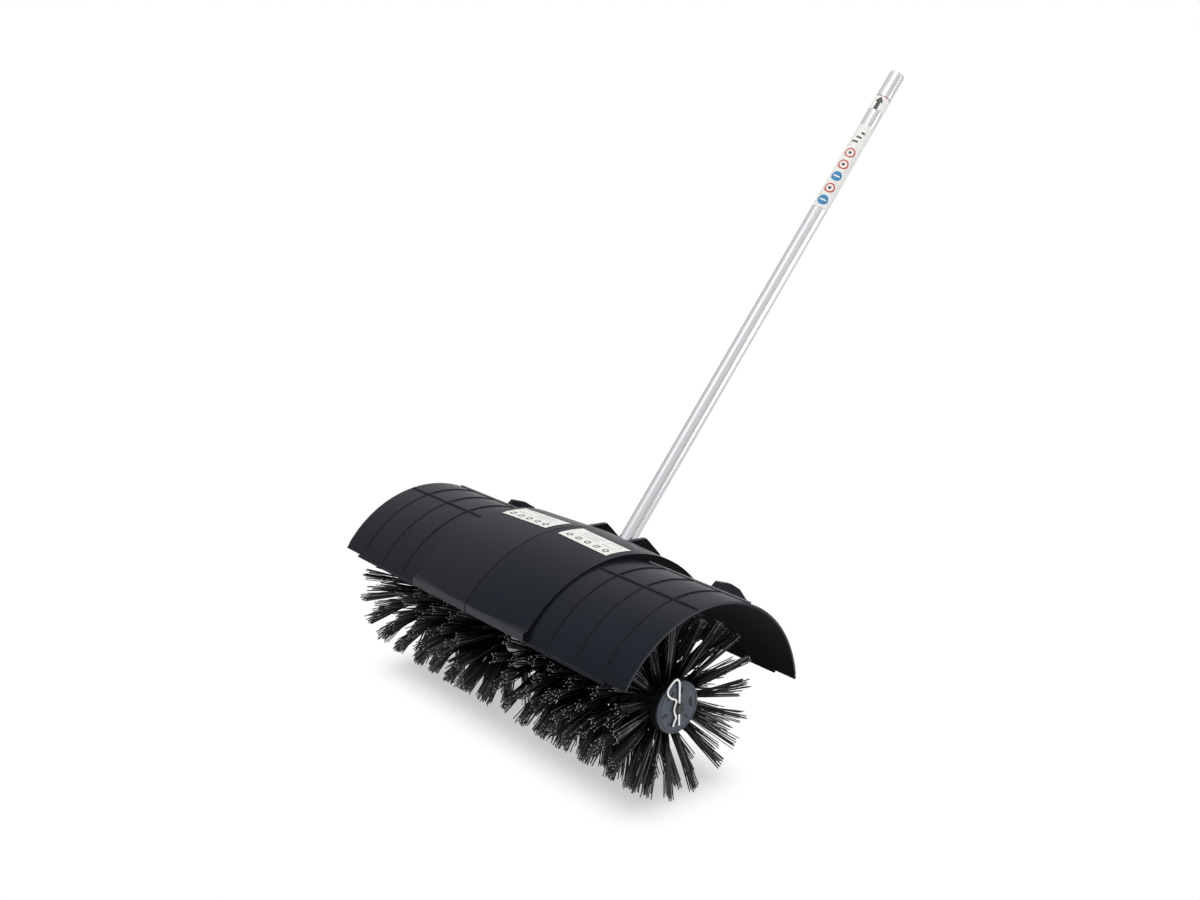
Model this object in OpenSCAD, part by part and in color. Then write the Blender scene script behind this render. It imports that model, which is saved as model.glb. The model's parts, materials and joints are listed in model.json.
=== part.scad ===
// Bristle brush sweeper head on a straight drive tube.
// A worm gearbox at the foot of the tube turns one cross shaft. Two brush halves
// sit on the shaft, one on each side, under a guard of two mouldings.
// The brush axis runs along X, the tube leans back towards +Y, and the bristle
// tips stand on the plane z = 0.

/* [Brush] */
// Working width over the bristle tips
brush_w = 600; // [520:10:680]
// Radius to the bristle tips
brush_r = 125; // [118:1:132]
// Rows of tufts along each brush half
tuft_rows = 12; // [8:2:14]
// Tufts in one row around the core
tufts_round = 18; // [14:1:20]
// Radius of a tuft at its root
tuft_root_r = 2.6; // [1.8:0.1:3]
// Radius of a tuft at its tip, where it has spread
tuft_tip_r = 4.2; // [3:0.1:5]
// Depth of the flat on which the lowest tips stand
foot_cut = 0.5; // [0.3:0.1:1]
// Outer radius of the core drums
core_r = 32; // [29:0.5:33]
// Wall of the core drums
core_wall = 4; // [3:0.5:6]
// Thickness of the ring that holds the tuft roots
root_ring_t = 3.6; // [3:0.1:5]
// Radius of the end discs
disc_r = 36; // [36:0.5:40]
// Thickness of the end discs
disc_t = 3; // [2.5:0.5:6]

/* [Cross shaft] */
// Radius of the bearing journal
journal_r = 8.5; // [8.3:0.1:9.5]
// Width across the flats that drive the cores
hex_af = 14; // [13:0.1:14.3]
// Length of the drilled round end past the disc
shaft_nose = 7; // [6:0.5:12]
// Width of the key in the worm wheel
key_w = 5; // [4:0.5:6]

/* [Hitch pins] */
// Diameter of the wire
wire_d = 3.2; // [2.6:0.1:3.6]
// Length of the straight leg below the shaft
leg_below = 24; // [20:1:26]
// Height of the bow above the shaft
bow_top = 42; // [36:1:46]
// Reach of the bow to the side of the straight leg
bow_side = 21; // [17:0.5:23]

/* [Gearbox] */
// Module of the worm gear
gear_module = 2; // [1.8:0.1:2.2]
// Teeth on the worm wheel
wheel_teeth = 38; // [34:1:42]
// Pitch diameter of the worm
worm_d = 21; // [19:0.5:24]
// Face width of the worm wheel
wheel_face = 14; // [10:1:16]
// Length of the worm thread
worm_len = 32; // [26:1:36]
// Wall of the gear housing
housing_wall = 4; // [3:0.5:6]
// Width of an output bearing
bearing_w = 10; // [8:0.5:12]
// Outer radius of an output bearing
bearing_r = 17.5; // [16.5:0.5:20]
// Width of a worm bearing
worm_bearing_w = 8; // [6:0.5:10]
// Outer radius of a worm bearing
worm_bearing_r = 13; // [12:0.5:15]
// Radius of the worm journals
worm_journal_r = 5; // [4:0.5:6]
// Width of an output seal
seal_w = 7; // [5:0.5:9]
// Radius of the housing screws
screw_r = 2.5; // [2:0.1:3]

/* [Drive tube] */
// Outer diameter of the tube
tube_od = 25.4; // [24:0.1:28]
// Wall of the tube
tube_wall = 1.6; // [1.2:0.1:2.2]
// Lean of the tube from the upright, in degrees
tube_tilt = 41.2; // [35:0.1:47]
// Distance from the worm's middle to the tip of the tube
tube_tip = 1075; // [900:5:1300]
// Length of tube that goes into the power unit
insert_len = 50; // [40:1:60]
// Depth of tube inside the housing neck
neck_len = 54; // [40:1:70]
// Diameter of the drive shaft
drive_d = 8; // [7:0.1:9]
// Width of the square ends of the drive shaft
drive_square = 6; // [5:0.1:6.8]
// Depth of the tip bush below the rim of the tube
rim_recess = 3.5; // [3:0.1:4]
// Length of the bushes that carry the drive shaft
bush_len = 18; // [12:1:26]

/* [Guard] */
// Width over both guard halves
guard_w = 647; // [630:1:720]
// Wall of the mouldings
guard_wall = 3; // [2.5:0.1:4]
// Outer radius of the wings
wing_r = 172; // [168:0.5:178]
// Distance of the wing centre behind the brush axis
wing_back = 11.3; // [9:0.1:13]
// Distance of the wing centre below the brush axis
wing_drop = 21; // [18:0.1:24]
// Angle of the front edge of the wings
wing_front = 146; // [138:0.5:147]
// Angle of the rear edge of the wings
wing_rear = 5.1; // [0:0.1:12]
// Width of the shortened strip at the outer end of a wing
wing_notch_w = 38; // [15:1:45]
// Depth by which that strip is shorter
wing_notch = 4.5; // [2:0.5:8]
// Height of the bead along the wing's lower edges
rim_h = 3.4; // [2:0.2:5]
// Thickness of that bead outside the wing
rim_t = 1.2; // [0.8:0.1:2]
// Outer radius of the raised hood at its side walls
hood_r = 201.5; // [200:0.5:208]
// Extra radius of the hood at the middle seam
hood_crown = 5; // [2:0.5:7]
// Distance of the hood centre behind the brush axis
hood_back = 22.9; // [20:0.1:25]
// Distance of the hood centre below the brush axis
hood_drop = 45.5; // [43:0.1:47]
// Half of the width of the hood
hood_half = 130; // [120:1:140]
// Angle of the rear edge of the hood
hood_rear = 16; // [12:0.5:22]
// Distance of the front lip ahead of the brush axis
lip_reach = 133; // [130:0.5:136]
// Height of the lower edge of the lip above the brush axis
lip_low = 78; // [70:0.5:80]
// Height of the lip's upright face
lip_h = 11; // [8:0.5:13]
// Distance of the first ring rib from the side of the hood
rib_start = 41; // [35:1:50]
// Distance of the last ring rib from the outer end of the wing
rib_end = 46; // [30:0.5:60]
// Width of the ring ribs in front of the long rib
rib_w = 2; // [1.4:0.1:2.6]
// Width of the ring ribs behind the long rib, and of the long rib
rib_w_rear = 3.2; // [3:0.1:4.4]
// Height of the ring ribs behind the long rib
rib_h = 0.9; // [0.6:0.1:1.3]
// Angle of the long rib along each wing
rib_along = 95; // [90:0.5:102]
// Angle of the rail along the rear of each wing
rail_along = 63; // [60:0.5:70]
// Width of that rail
rail_w = 4; // [3:0.2:6]
// Height of that rail above the wing
rail_h = 2.4; // [2:0.1:3]
// Thickness of the upright fins behind the hood and the wings
fin_t = 8; // [5:0.5:10]
// Distance of the hood fins from the middle
hood_fin_x = 44; // [40:0.5:60]
// Height of the hood fins above the hood
hood_fin_h = 16; // [10:0.5:20]
// Distance of the wing fins from the middle
wing_fin_x = 229.5; // [215:0.5:240]
// Height of the wing fins above the wings
wing_fin_h = 25; // [14:0.5:30]

/* [Guard fixing] */
// Half of the width of the tube clamp
clamp_half = 38; // [36:0.5:39]
// Depth of one half of the tube clamp
clamp_depth = 16; // [14:0.5:18]
// Height of the tube clamp along the tube
clamp_h = 22; // [18:1:26]
// Height of the pads between the clamp and the hood
pad_h = 14; // [8:0.5:18]
// Radius of the clamp and guard screws
fix_screw_r = 2.5; // [2:0.1:3]
// Thickness of the guard stays
stay_t = 3.5; // [2.5:0.5:5]
// Thickness of each seam flange and housing lug
flange_t = 6; // [4:0.5:8]
// Depth of the seam flanges below the hood
flange_h = 16; // [14:0.5:20]
// Radius of the stay bolts
bolt_r = 3; // [2.5:0.1:3.5]

/* [Labels] */
// Length of a hood label along the brush axis
label_w = 104; // [80:1:108]
// Distance of a hood label from the middle seam
label_gap = 14; // [8:1:18]
// Height of a hood label around the hood
label_h = 46; // [30:1:56]
// Length of the label along the tube
tube_label_len = 162; // [80:1:200]
// Distance of that label below the tip of the tube
tube_label_drop = 110; // [95:1:140]
// Length of the band below the insertion mark
band_len = 26; // [18:1:34]
// Thickness of the labels
label_t = 0.3; // [0.2:0.1:0.5]

/* [Clearances] */
// Gap between fitted pieces that do not move on each other
fit = 0.02; // [0.01:0.01:0.05]
// Radial gap of a running fit
run = 0.05; // [0.02:0.01:0.1]
// Gap around pieces that only pass each other
gap = 0.3; // [0.2:0.05:0.5]

/* [Hidden] */
$fn = 72;

black = "#15171b";
dark_grey = "#33373c";
bristle_black = "#0c0d0f";
steel = "#b4b8bc";
bright_steel = "#d9dcdf";
aluminium = "#c9ccce";
cast_grey = "#8b8f93";
bronze = "#b08d4e";
white = "#eceae4";
mark_red = "#a03030";
rubber = "#26282a";
nylon = "#d8d2c0";

// Worm gear: the tube axis passes the brush axis at the centre distance.
addendum = gear_module;
dedendum = 1.25 * gear_module;
pressure_angle = 20;
tooth_thin = 0.32 * gear_module;
pitch_half = (PI * gear_module / 2 - tooth_thin) / 2;
thread_pitch = PI * gear_module;
wheel_pitch_r = gear_module * wheel_teeth / 2;
wheel_tip_r = wheel_pitch_r + addendum;
wheel_root_r = wheel_pitch_r - dedendum;
worm_pitch_r = worm_d / 2;
worm_tip_r = worm_pitch_r + addendum;
worm_root_r = worm_pitch_r - dedendum;
lead_angle = atan(gear_module / worm_d);
centre_distance = wheel_pitch_r + worm_pitch_r;

// Tube, and the frame that all pieces share: the middle of the overall length lies
// over the origin, and the flats of the lowest tips lie on the ground.
tube_r = tube_od / 2;
bore_r = tube_r - tube_wall;
rim_bevel = 0.6;
tip_back = centre_distance * cos(tube_tilt) + tube_tip * sin(tube_tilt)
    + (tube_r - rim_bevel) * cos(tube_tilt);
axis_y = (lip_reach - tip_back) / 2;
axis_z = brush_r - foot_cut;

// Stack along the cross shaft, from the middle outwards.
hub_half = wheel_face;
bearing_x = hub_half;
seal_x = bearing_x + bearing_w;
case_half = seal_x + seal_w;
core_x = case_half + 2;
disc_x = brush_w / 2 - 20;
nose_x = disc_x + disc_t;
pin_x = nose_x + wire_d / 2 + 0.6;
nose_r = hex_af / 2 - 0.1;
hex_r = hex_af / 2 / cos(30);

// Bearings: ball radius and pitch radius from the space between the rings.
ball_r = 0.27 * (bearing_r - journal_r);
ball_pitch_r = (bearing_r + journal_r) / 2;
ball_count = 9;
worm_ball_r = 0.27 * (worm_bearing_r - worm_journal_r);
worm_ball_pitch_r = (worm_bearing_r + worm_journal_r) / 2;
worm_ball_count = 7;
race_rim = 0.55;

// Gear housing.
chamber_gap = 1.5;
case_r = wheel_tip_r + chamber_gap + housing_wall;
case_x = wheel_face / 2 + 2 + housing_wall + 3;
worm_room_r = max(worm_tip_r + 1, worm_bearing_r + 0.5);
worm_case_r = worm_room_r + housing_wall;
worm_shoulder = worm_len / 2 + 5;
worm_bearing_z = worm_shoulder + worm_bearing_w;
socket_len = 12;
neck_z = worm_bearing_z + socket_len + 3;
neck_top = neck_z + neck_len;
neck_r = tube_r + housing_wall + 1;
boss_r = screw_r + 3.5;
boss_x = case_x - 4;
head_r = 1.7 * screw_r;
head_h = 1.6 * screw_r;
boss_out = boss_r - 2.5;
half_cut = 8 * case_r;
housing_boss = concat(
    [for (a = [75, 185, 225, 265]) (case_r + boss_out) * [cos(a), sin(a)]],
    [[centre_distance + worm_case_r + boss_out, 0],
     [centre_distance + neck_r + boss_out, neck_top - 10],
     [centre_distance - neck_r - boss_out, neck_top - 10],
     [centre_distance + neck_r + boss_out, neck_top - 36]]);

// Guard: points on the hood and on the wings are given about their own centres.
hood_at = [hood_back, -hood_drop];
wing_at = [wing_back, -wing_drop];
hood_front = 150;
seam_r = hood_r + hood_crown;
function hood_r_at(x) = seam_r - hood_crown * x / hood_half;
function polar(at, r, a) = at + r * [cos(a), sin(a)];
// The angle that a length takes up round the outside of a wing.
function wing_turn(len) = len / wing_r * 180 / PI;
rib_count = 3;
rib_first = hood_half + rib_start;
rib_pitch = (guard_w / 2 - rib_end - rib_first) / (rib_count - 1);
rib_stop = 4;

// Guard fixing: the hood is square to the tube where the tube passes through it.
guard_bolt_x = clamp_half - fix_screw_r - 3.5;
guard_bolt_y = clamp_depth / 2 - 0.5;
pad_hood_r = hood_r_at(guard_bolt_x);
hood_on_tube = let (
        foot = centre_distance * [cos(tube_tilt), -sin(tube_tilt)] - hood_at,
        along = foot * [sin(tube_tilt), cos(tube_tilt)]
    ) sqrt(pad_hood_r * pad_hood_r - foot * foot + along * along) - along;
clamp_top = hood_on_tube - guard_wall - pad_h;
clamp_z = clamp_top - clamp_h;
clamp_split = 0.5;
clamp_bolt_x = tube_r + fix_screw_r + 5;
guard_bolt_len = 26;
spot_face = 0.8;
tube_hole_r = tube_r + 1.5;
flange_bolt_r = seam_r - guard_wall - flange_h / 2;
flange_bolts = [for (a = [88, 102]) polar(hood_at, flange_bolt_r, a)];
lug_r = case_r + 14.5;
lug_bolts = [for (a = [82, 110]) polar([0, 0], lug_r, a)];
stay_edge = bolt_r + 5;
stay_x = flange_t;
bolt_head_r = 1.75 * bolt_r;
bolt_head_h = 1.3 * bolt_r;

// Tufts: a grid of cells around the core, sheared by half a cell from row to row.
ring_x0 = core_x + 2;
ring_x1 = disc_x - 1;
root_r = core_r + gap + root_ring_t;
cell_a = 360 / tufts_round;
row_shear = cell_a / 2;
tuft_x0 = ring_x0 + 8;
tuft_x1 = brush_w / 2 - tuft_tip_r;
tip_reach = brush_r - tuft_tip_r * tuft_tip_r / (2 * brush_r) - 0.05;

// Hitch pin wire: half width of the grip and the heights of its waves.
wire_r = wire_d / 2;
grip_side = nose_r + wire_r + gap;
waist_side = wire_d + 2.2;
wire_steps = 4;
wire_sides = 8;

// Places children on the brush axis, in the frame of the gears and on the tube axis.
module at_axis() {
    translate([0, axis_y, axis_z]) children();
}

module gear_frame() {
    at_axis() rotate([-tube_tilt, 0, 0]) children();
}

module tube_frame() {
    gear_frame() translate([0, centre_distance, 0]) children();
}

// Turns a shape drawn in the XY plane so that it faces along X.
module along_x(x = 0) {
    translate([x, 0, 0]) rotate([90, 0, 90]) children();
}

module other_side() {
    mirror([1, 0, 0]) children();
}

// A shell swept about a line along X, from angle a0 to angle a1.
module swept(at, a0, a1) {
    translate([0, at[0], at[1]]) along_x() rotate([0, 0, a0]) rotate_extrude(angle = a1 - a0) children();
}

// A flat plate between x0 and x1, drawn in the plane across the brush axis.
module plate(x0, x1) {
    along_x(x0) linear_extrude(x1 - x0) children();
}

module ring(r_in, r_out, h) {
    rotate_extrude() translate([r_in, 0]) square([r_out - r_in, h]);
}

// A wedge of the plane about a centre, for trimming plates to a sweep.
module wedge(at, a0, a1) {
    reach = 3 * hood_r;
    step = (a1 - a0) / 4;
    polygon(concat([at], [for (i = [0:4]) polar(at, reach, a0 + i * step)]));
}

// Hex-headed screw along +Z with its head's seat at z = 0 and its shank below.
module hex_screw(r, len, hr, hh) {
    cylinder(r = hr, h = hh, $fn = 6);
    translate([0, 0, -len]) cylinder(r = r, h = len + hh / 2);
}

// Guard half on the +X side.
module wing_shell() {
    inner_x = hood_half - guard_wall / 2;
    difference() {
        swept(wing_at, wing_rear, wing_front)
            translate([wing_r - guard_wall, inner_x]) square([guard_wall, guard_w / 2 - inner_x]);
        wing_end_cut(wing_rear - 1, wing_rear);
        wing_end_cut(wing_front, wing_front + 1);
        strip_step(wing_rear - 1, wing_rear + rib_stop);
        strip_step(wing_front - rib_stop, wing_front + 1);
    }
}

// Thins the end of a wing's outer strip, below the line where the ribs stop.
module strip_step(a0, a1) {
    step = 0.6;
    swept(wing_at, a0, a1)
        translate([wing_r - step, guard_w / 2 - wing_notch_w + step]) square([guard_wall, wing_notch_w]);
}

// Beads along the lower edges of a wing, between the hood and the outer strip.
module wing_rims() {
    sunk = 1;
    clear = 0.6;
    inner_x = hood_half + clear;
    outer_x = guard_w / 2 - wing_notch_w - clear;
    rim_a = wing_turn(rim_h);
    for (a = [wing_rear, wing_front - rim_a])
        wing_band(a, a + rim_a, inner_x, outer_x, rim_t, sunk);
}

// Cuts the outer strip of a wing shorter, from a0 to a1 and the notch's depth each way.
module wing_end_cut(a0, a1) {
    notch_a = wing_turn(wing_notch);
    swept(wing_at, a0 - notch_a, a1 + notch_a)
        translate([wing_r - 2 * guard_wall, guard_w / 2 - wing_notch_w])
            square([3 * guard_wall, wing_notch_w + 1]);
}

// Ring ribs, lower and narrower in front of the long rib, and a rail along the rear.
module wing_ribs() {
    lap = 3;
    long_a = wing_turn(rib_w_rear);
    x0 = hood_half - 1;
    x1 = guard_w / 2 - 2;
    for (i = [0:rib_count - 1]) {
        x = rib_first + i * rib_pitch;
        wide = rib_w_rear / 2;
        slim = rib_w / 2;
        wing_band(wing_rear + rib_stop, rib_along + long_a / 2, x - wide, x + wide, rib_h);
        wing_band(rib_along - lap, wing_front - rib_stop, x - slim, x + slim, 0.8 * rib_h);
    }
    wing_band(rib_along, rib_along + long_a, x0, x1, 1.3 * rib_h);
    wing_band(rail_along, rail_along + wing_turn(rail_w), x0, x1, rail_h);
}

// A raised band on a wing, from angle a0 to a1 and from x0 to x1.
module wing_band(a0, a1, x0, x1, h, sunk = 0.5) {
    swept(wing_at, a0, a1) translate([wing_r - sunk, x0]) square([h + sunk, x1 - x0]);
}

module hood_shell() {
    bevel = 1;
    intersection() {
        swept(hood_at, hood_rear, hood_front)
            polygon([
                [seam_r - guard_wall, 0], [seam_r - bevel, 0], [hood_r_at(bevel), bevel],
                [hood_r, hood_half], [hood_r - guard_wall, hood_half]
            ]);
        plate(0, hood_half) behind_lip();
    }
}

// The side wall reaches half way into the shells that it joins.
module hood_side_wall() {
    half_wall = guard_wall / 2;
    plate(hood_half - guard_wall, hood_half)
        intersection() {
            difference() {
                translate(hood_at) circle(hood_r - half_wall);
                translate(wing_at) circle(wing_r - half_wall);
            }
            wedge(wing_at, wing_rear + 1, wing_front - 1);
            wedge(hood_at, hood_rear + 1, hood_front);
            translate([half_wall, 0]) behind_lip();
        }
}

// The part of the plane behind the front face of the lip.
module behind_lip() {
    translate([-lip_reach, -hood_r]) square(3 * hood_r);
}

// The lip thickens the hood's lower front edge and ends in an upright face.
module hood_lip() {
    root = 3.5 * guard_wall;
    top = lip_low + lip_h;
    plate(0, hood_half)
        polygon([
            [-lip_reach, lip_low], [guard_wall - lip_reach, lip_low], [root - lip_reach, top - 1],
            [root - lip_reach, top + root / 3], [-lip_reach, top]
        ]);
}

// A chamfer down the lip where the two halves of the guard meet.
module lip_seam() {
    side = sqrt(2);
    translate([0, -lip_reach, lip_low + lip_h])
        rotate([0, 0, 45]) cube([side, side, 4 * lip_h], center = true);
}

// An upright fin that stands on a shell, with its outline given as angle and height.
module fin(at, r, x, outline) {
    plate(x - fin_t / 2, x + fin_t / 2)
        difference() {
            polygon(concat([at], [for (p = outline) polar(at, r + p[1], p[0])]));
            translate(at) circle(r - guard_wall / 2);
        }
}

module hood_fin() {
    h = hood_fin_h;
    fin(hood_at, hood_r_at(hood_fin_x), hood_fin_x,
        [[28, -guard_wall], [34, 0.4 * h], [42, 0.75 * h], [52, h], [62, -guard_wall]]);
}

module wing_fin() {
    h = wing_fin_h;
    fin(wing_at, wing_r, wing_fin_x,
        [[23, -guard_wall], [32, h], [40, h], [46, 0.84 * h], [53, 0.5 * h], [55, -guard_wall]]);
}

module seam_flange() {
    swept(hood_at, 78, 116)
        translate([seam_r - guard_wall - flange_h, 0]) square([flange_h + 1, flange_t]);
}

module hood_pads() {
    pad_in = tube_hole_r + 8;
    intersection() {
        tube_on_axis()
            translate([pad_in, -clamp_depth, clamp_top])
                cube([clamp_half - pad_in, 2 * clamp_depth, pad_h + 8]);
        translate([0, hood_at[0], hood_at[1]]) along_x()
            cylinder(r = hood_r_at(clamp_half) - guard_wall / 2, h = hood_half);
    }
}

// The tube's frame, seen from the brush axis.
module tube_on_axis() {
    rotate([-tube_tilt, 0, 0]) translate([0, centre_distance, 0]) children();
}

module guard_half() {
    at_axis() difference() {
        union() {
            wing_shell();
            wing_rims();
            wing_ribs();
            hood_shell();
            hood_side_wall();
            hood_lip();
            hood_fin();
            wing_fin();
            seam_flange();
            hood_pads();
        }
        lip_seam();
        tube_on_axis() cylinder(r = tube_hole_r, h = tube_tip);
        for (y = [-guard_bolt_y, guard_bolt_y])
            tube_on_axis() translate([guard_bolt_x, y, clamp_z]) {
                cylinder(r = fix_screw_r + gap, h = tube_tip - clamp_z);
                translate([0, 0, hood_on_tube - spot_face - clamp_z])
                    cylinder(r = 2 * fix_screw_r + 1, h = 30);
            }
        for (p = flange_bolts)
            along_x(-1) translate(p) cylinder(r = bolt_r + gap, h = flange_t + 2);
    }
}

module guard_left() {
    color(black) other_side() guard_half();
}

module guard_right() {
    color(black) guard_half();
}

// Label on the hood: a thin curved plate just behind the crest.
module guard_label() {
    turn = label_h / hood_r * 180 / PI;
    start = 78;
    x0 = label_gap;
    x1 = label_gap + label_w;
    at_axis() swept(hood_at, start, start + turn)
        polygon([
            [hood_r_at(x0) + gap, x0], [hood_r_at(x0) + gap + label_t, x0],
            [hood_r_at(x1) + gap + label_t, x1], [hood_r_at(x1) + gap, x1]
        ]);
}

module guard_label_left() {
    color(white) other_side() guard_label();
}

module guard_label_right() {
    color(white) guard_label();
}

// Stays: plates from the lugs of the gear housing up to the seam flanges.
module guard_stay() {
    at_axis() difference() {
        plate(stay_x, stay_x + stay_t)
            polygon([
                flange_bolts[1] + [-stay_edge, stay_edge / 2], flange_bolts[0] + [stay_edge, stay_edge / 2],
                lug_bolts[0] + [stay_edge, -stay_edge], lug_bolts[1] + [-stay_edge, -stay_edge]
            ]);
        for (p = concat(flange_bolts, lug_bolts))
            along_x(stay_x - 1) translate(p) cylinder(r = bolt_r + gap, h = stay_t + 2);
    }
}

module guard_stay_left() {
    color(dark_grey) other_side() guard_stay();
}

module guard_stay_right() {
    color(dark_grey) guard_stay();
}

module stay_bolts() {
    seat = stay_x + stay_t;
    color(steel) at_axis()
        for (p = concat(flange_bolts, lug_bolts)) {
            along_x(seat) translate(p) hex_screw(bolt_r, 2 * seat + bolt_head_h, bolt_head_r, bolt_head_h);
            along_x(-seat - bolt_head_h) translate(p) difference() {
                cylinder(r = bolt_head_r, h = bolt_head_h, $fn = 6);
                translate([0, 0, -1]) cylinder(r = bolt_r + fit, h = bolt_head_h + 2);
            }
        }
}

// Tube clamp: two blocks around the tube, just under the hood.
module clamp_block() {
    tube_frame() difference() {
        translate([-clamp_half, clamp_split, clamp_z])
            cube([2 * clamp_half, clamp_depth - clamp_split, clamp_h]);
        translate([0, 0, clamp_z - 1]) cylinder(r = tube_r + fit, h = clamp_h + 2);
        for (x = [-clamp_bolt_x, clamp_bolt_x])
            translate([x, 0, clamp_z + clamp_h / 2]) rotate([-90, 0, 0])
                cylinder(r = fix_screw_r + gap, h = 2 * clamp_depth);
        for (x = [-guard_bolt_x, guard_bolt_x])
            translate([x, guard_bolt_y, clamp_z - 1]) cylinder(r = fix_screw_r + fit, h = clamp_h + 2);
    }
}

module turned_about_tube() {
    tube_frame() rotate([0, 0, 180]) translate([0, -centre_distance, 0]) rotate([tube_tilt, 0, 0])
        translate([0, -axis_y, -axis_z]) children();
}

module tube_clamp_front() {
    color(cast_grey) turned_about_tube() clamp_block();
}

module tube_clamp_rear() {
    color(cast_grey) clamp_block();
}

module clamp_screws() {
    nut_h = 4;
    color(steel) tube_frame()
        for (x = [-clamp_bolt_x, clamp_bolt_x])
            translate([x, 0, clamp_z + clamp_h / 2]) rotate([-90, 0, 0]) {
                translate([0, 0, clamp_depth])
                    hex_screw(fix_screw_r, 2 * clamp_depth + nut_h, 1.8 * fix_screw_r, nut_h);
                translate([0, 0, -clamp_depth - nut_h]) difference() {
                    cylinder(r = 1.8 * fix_screw_r, h = nut_h, $fn = 6);
                    translate([0, 0, -1]) cylinder(r = fix_screw_r + fit, h = nut_h + 2);
                }
            }
}

module guard_screws() {
    color(steel) tube_frame()
        for (x = [-guard_bolt_x, guard_bolt_x], y = [-guard_bolt_y, guard_bolt_y])
            translate([x, y, hood_on_tube - spot_face])
                hex_screw(fix_screw_r, guard_bolt_len, 1.8 * fix_screw_r, 3);
}

// Drive tube, with the groove of the insertion mark and four notches in its rim.
mark_w = 1.6;
mark_depth = 0.5;
mark_sunk = 0.2;
notch_w = 3;
notch_depth = 3;

module drive_tube() {
    color(aluminium) tube_frame() difference() {
        union() {
            translate([0, 0, neck_z]) cylinder(r = tube_r, h = tube_tip - neck_z - 1);
            translate([0, 0, tube_tip - 1]) cylinder(r1 = tube_r, r2 = tube_r - rim_bevel, h = 1);
        }
        translate([0, 0, neck_z - 1]) cylinder(r = bore_r, h = tube_tip);
        translate([0, 0, tube_tip - insert_len - mark_w])
            ring(tube_r - mark_depth, tube_r + 1, mark_w);
        for (a = [-28, 62])
            rotate([0, 0, a]) translate([-tube_od, -notch_w / 2, tube_tip - notch_depth])
                cube([2 * tube_od, notch_w, notch_depth + 1]);
    }
}

module insertion_mark() {
    color(mark_red) tube_frame() translate([0, 0, tube_tip - insert_len - mark_w + fit])
        ring(tube_r - mark_depth + fit, tube_r - mark_sunk, mark_w - 2 * fit);
}

module depth_label() {
    color(white) tube_frame() translate([0, 0, tube_tip - insert_len - mark_w - 0.5 - band_len])
        ring(tube_r + fit, tube_r + fit + label_t, band_len);
}

module tube_label() {
    turn = 210;
    color(white) tube_frame() translate([0, 0, tube_tip - tube_label_drop - tube_label_len])
        rotate([0, 0, -45 - turn / 2]) rotate_extrude(angle = turn)
            translate([tube_r + fit, 0]) square([label_t, tube_label_len]);
}

// Bushes that carry the drive shaft inside the tube.
module shaft_bush() {
    ring(drive_d / 2 + run, bore_r - fit, bush_len);
}

module tip_bush() {
    color(nylon) tube_frame() translate([0, 0, tube_tip - rim_recess - bush_len]) shaft_bush();
}

module liner_bushes() {
    bush_count = 4;
    span = tube_tip - neck_top;
    color(nylon) tube_frame()
        for (i = [0:bush_count - 1])
            translate([0, 0, neck_top + (i + 0.3) * span / (bush_count + 0.4)]) shaft_bush();
}

// Gear housing half on the +X side. The halves meet in the plane of the worm
// and the tube, and clamp the tube's foot between them.
module housing_body() {
    along_x() cylinder(r = case_r, h = case_x);
    along_x() cylinder(r = bearing_r + housing_wall, h = case_half);
    translate([0, centre_distance, -worm_bearing_z - housing_wall])
        cylinder(r = worm_case_r, h = worm_bearing_z + housing_wall + neck_z);
    translate([0, centre_distance, neck_z - 1]) cylinder(r = neck_r, h = neck_len + 1);
    for (p = housing_boss)
        along_x() translate(p) cylinder(r = boss_r, h = boss_x);
    rotate([tube_tilt, 0, 0]) plate(0, flange_t)
        polygon([
            lug_bolts[0] + [stay_edge, stay_edge], lug_bolts[1] + [-stay_edge, stay_edge],
            polar([0, 0], case_r - housing_wall / 2, 120), polar([0, 0], case_r - housing_wall / 2, 96),
            polar([0, 0], case_r - housing_wall / 2, 72)
        ]);
}

module housing_space() {
    along_x(-1) cylinder(r = wheel_tip_r + chamber_gap, h = wheel_face / 2 + 3);
    along_x(-1) cylinder(r = bearing_r - 3, h = case_half);
    along_x(bearing_x) cylinder(r = bearing_r + fit, h = case_half);
    translate([0, centre_distance, 0]) {
        translate([0, 0, -worm_shoulder]) cylinder(r = worm_room_r, h = 2 * worm_shoulder);
        translate([0, 0, -worm_bearing_z]) cylinder(r = worm_bearing_r + fit, h = 2 * worm_bearing_z);
        cylinder(r = worm_bearing_r - 2, h = neck_z);
        translate([0, 0, neck_z]) cylinder(r = tube_r + fit, h = neck_len + 1);
    }
    for (p = housing_boss) {
        along_x(-1) translate(p) cylinder(r = screw_r + fit, h = boss_x + 2);
        along_x(boss_x) translate(p) cylinder(r = head_r + gap, h = case_half);
    }
    rotate([tube_tilt, 0, 0])
        for (p = lug_bolts)
            along_x(-1) translate(p) cylinder(r = bolt_r + gap, h = flange_t + 2);
}

plug_r = 5;

module housing_half() {
    gear_frame() difference() {
        intersection() {
            housing_body();
            translate([0, -half_cut / 2, -half_cut / 2]) cube(half_cut);
        }
        housing_space();
    }
}

module gear_housing_left() {
    color(cast_grey) other_side() housing_half();
}

// The right half also holds the filler hole of the gear chamber.
module gear_housing_right() {
    color(cast_grey) difference() {
        housing_half();
        gear_frame() filler_place(-1) cylinder(r = plug_r + fit, h = 40);
    }
}

module filler_place(z) {
    rotate([150, 0, 0]) along_x(wheel_face / 2 + 2 + z)
        translate([(case_r + bearing_r) / 2 + 2, 0]) children();
}

module filler_plug() {
    depth = case_x - wheel_face / 2 - 2;
    color(steel) gear_frame() filler_place(depth) hex_screw(plug_r, depth - 0.5, plug_r + 2.5, 4);
}

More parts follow.
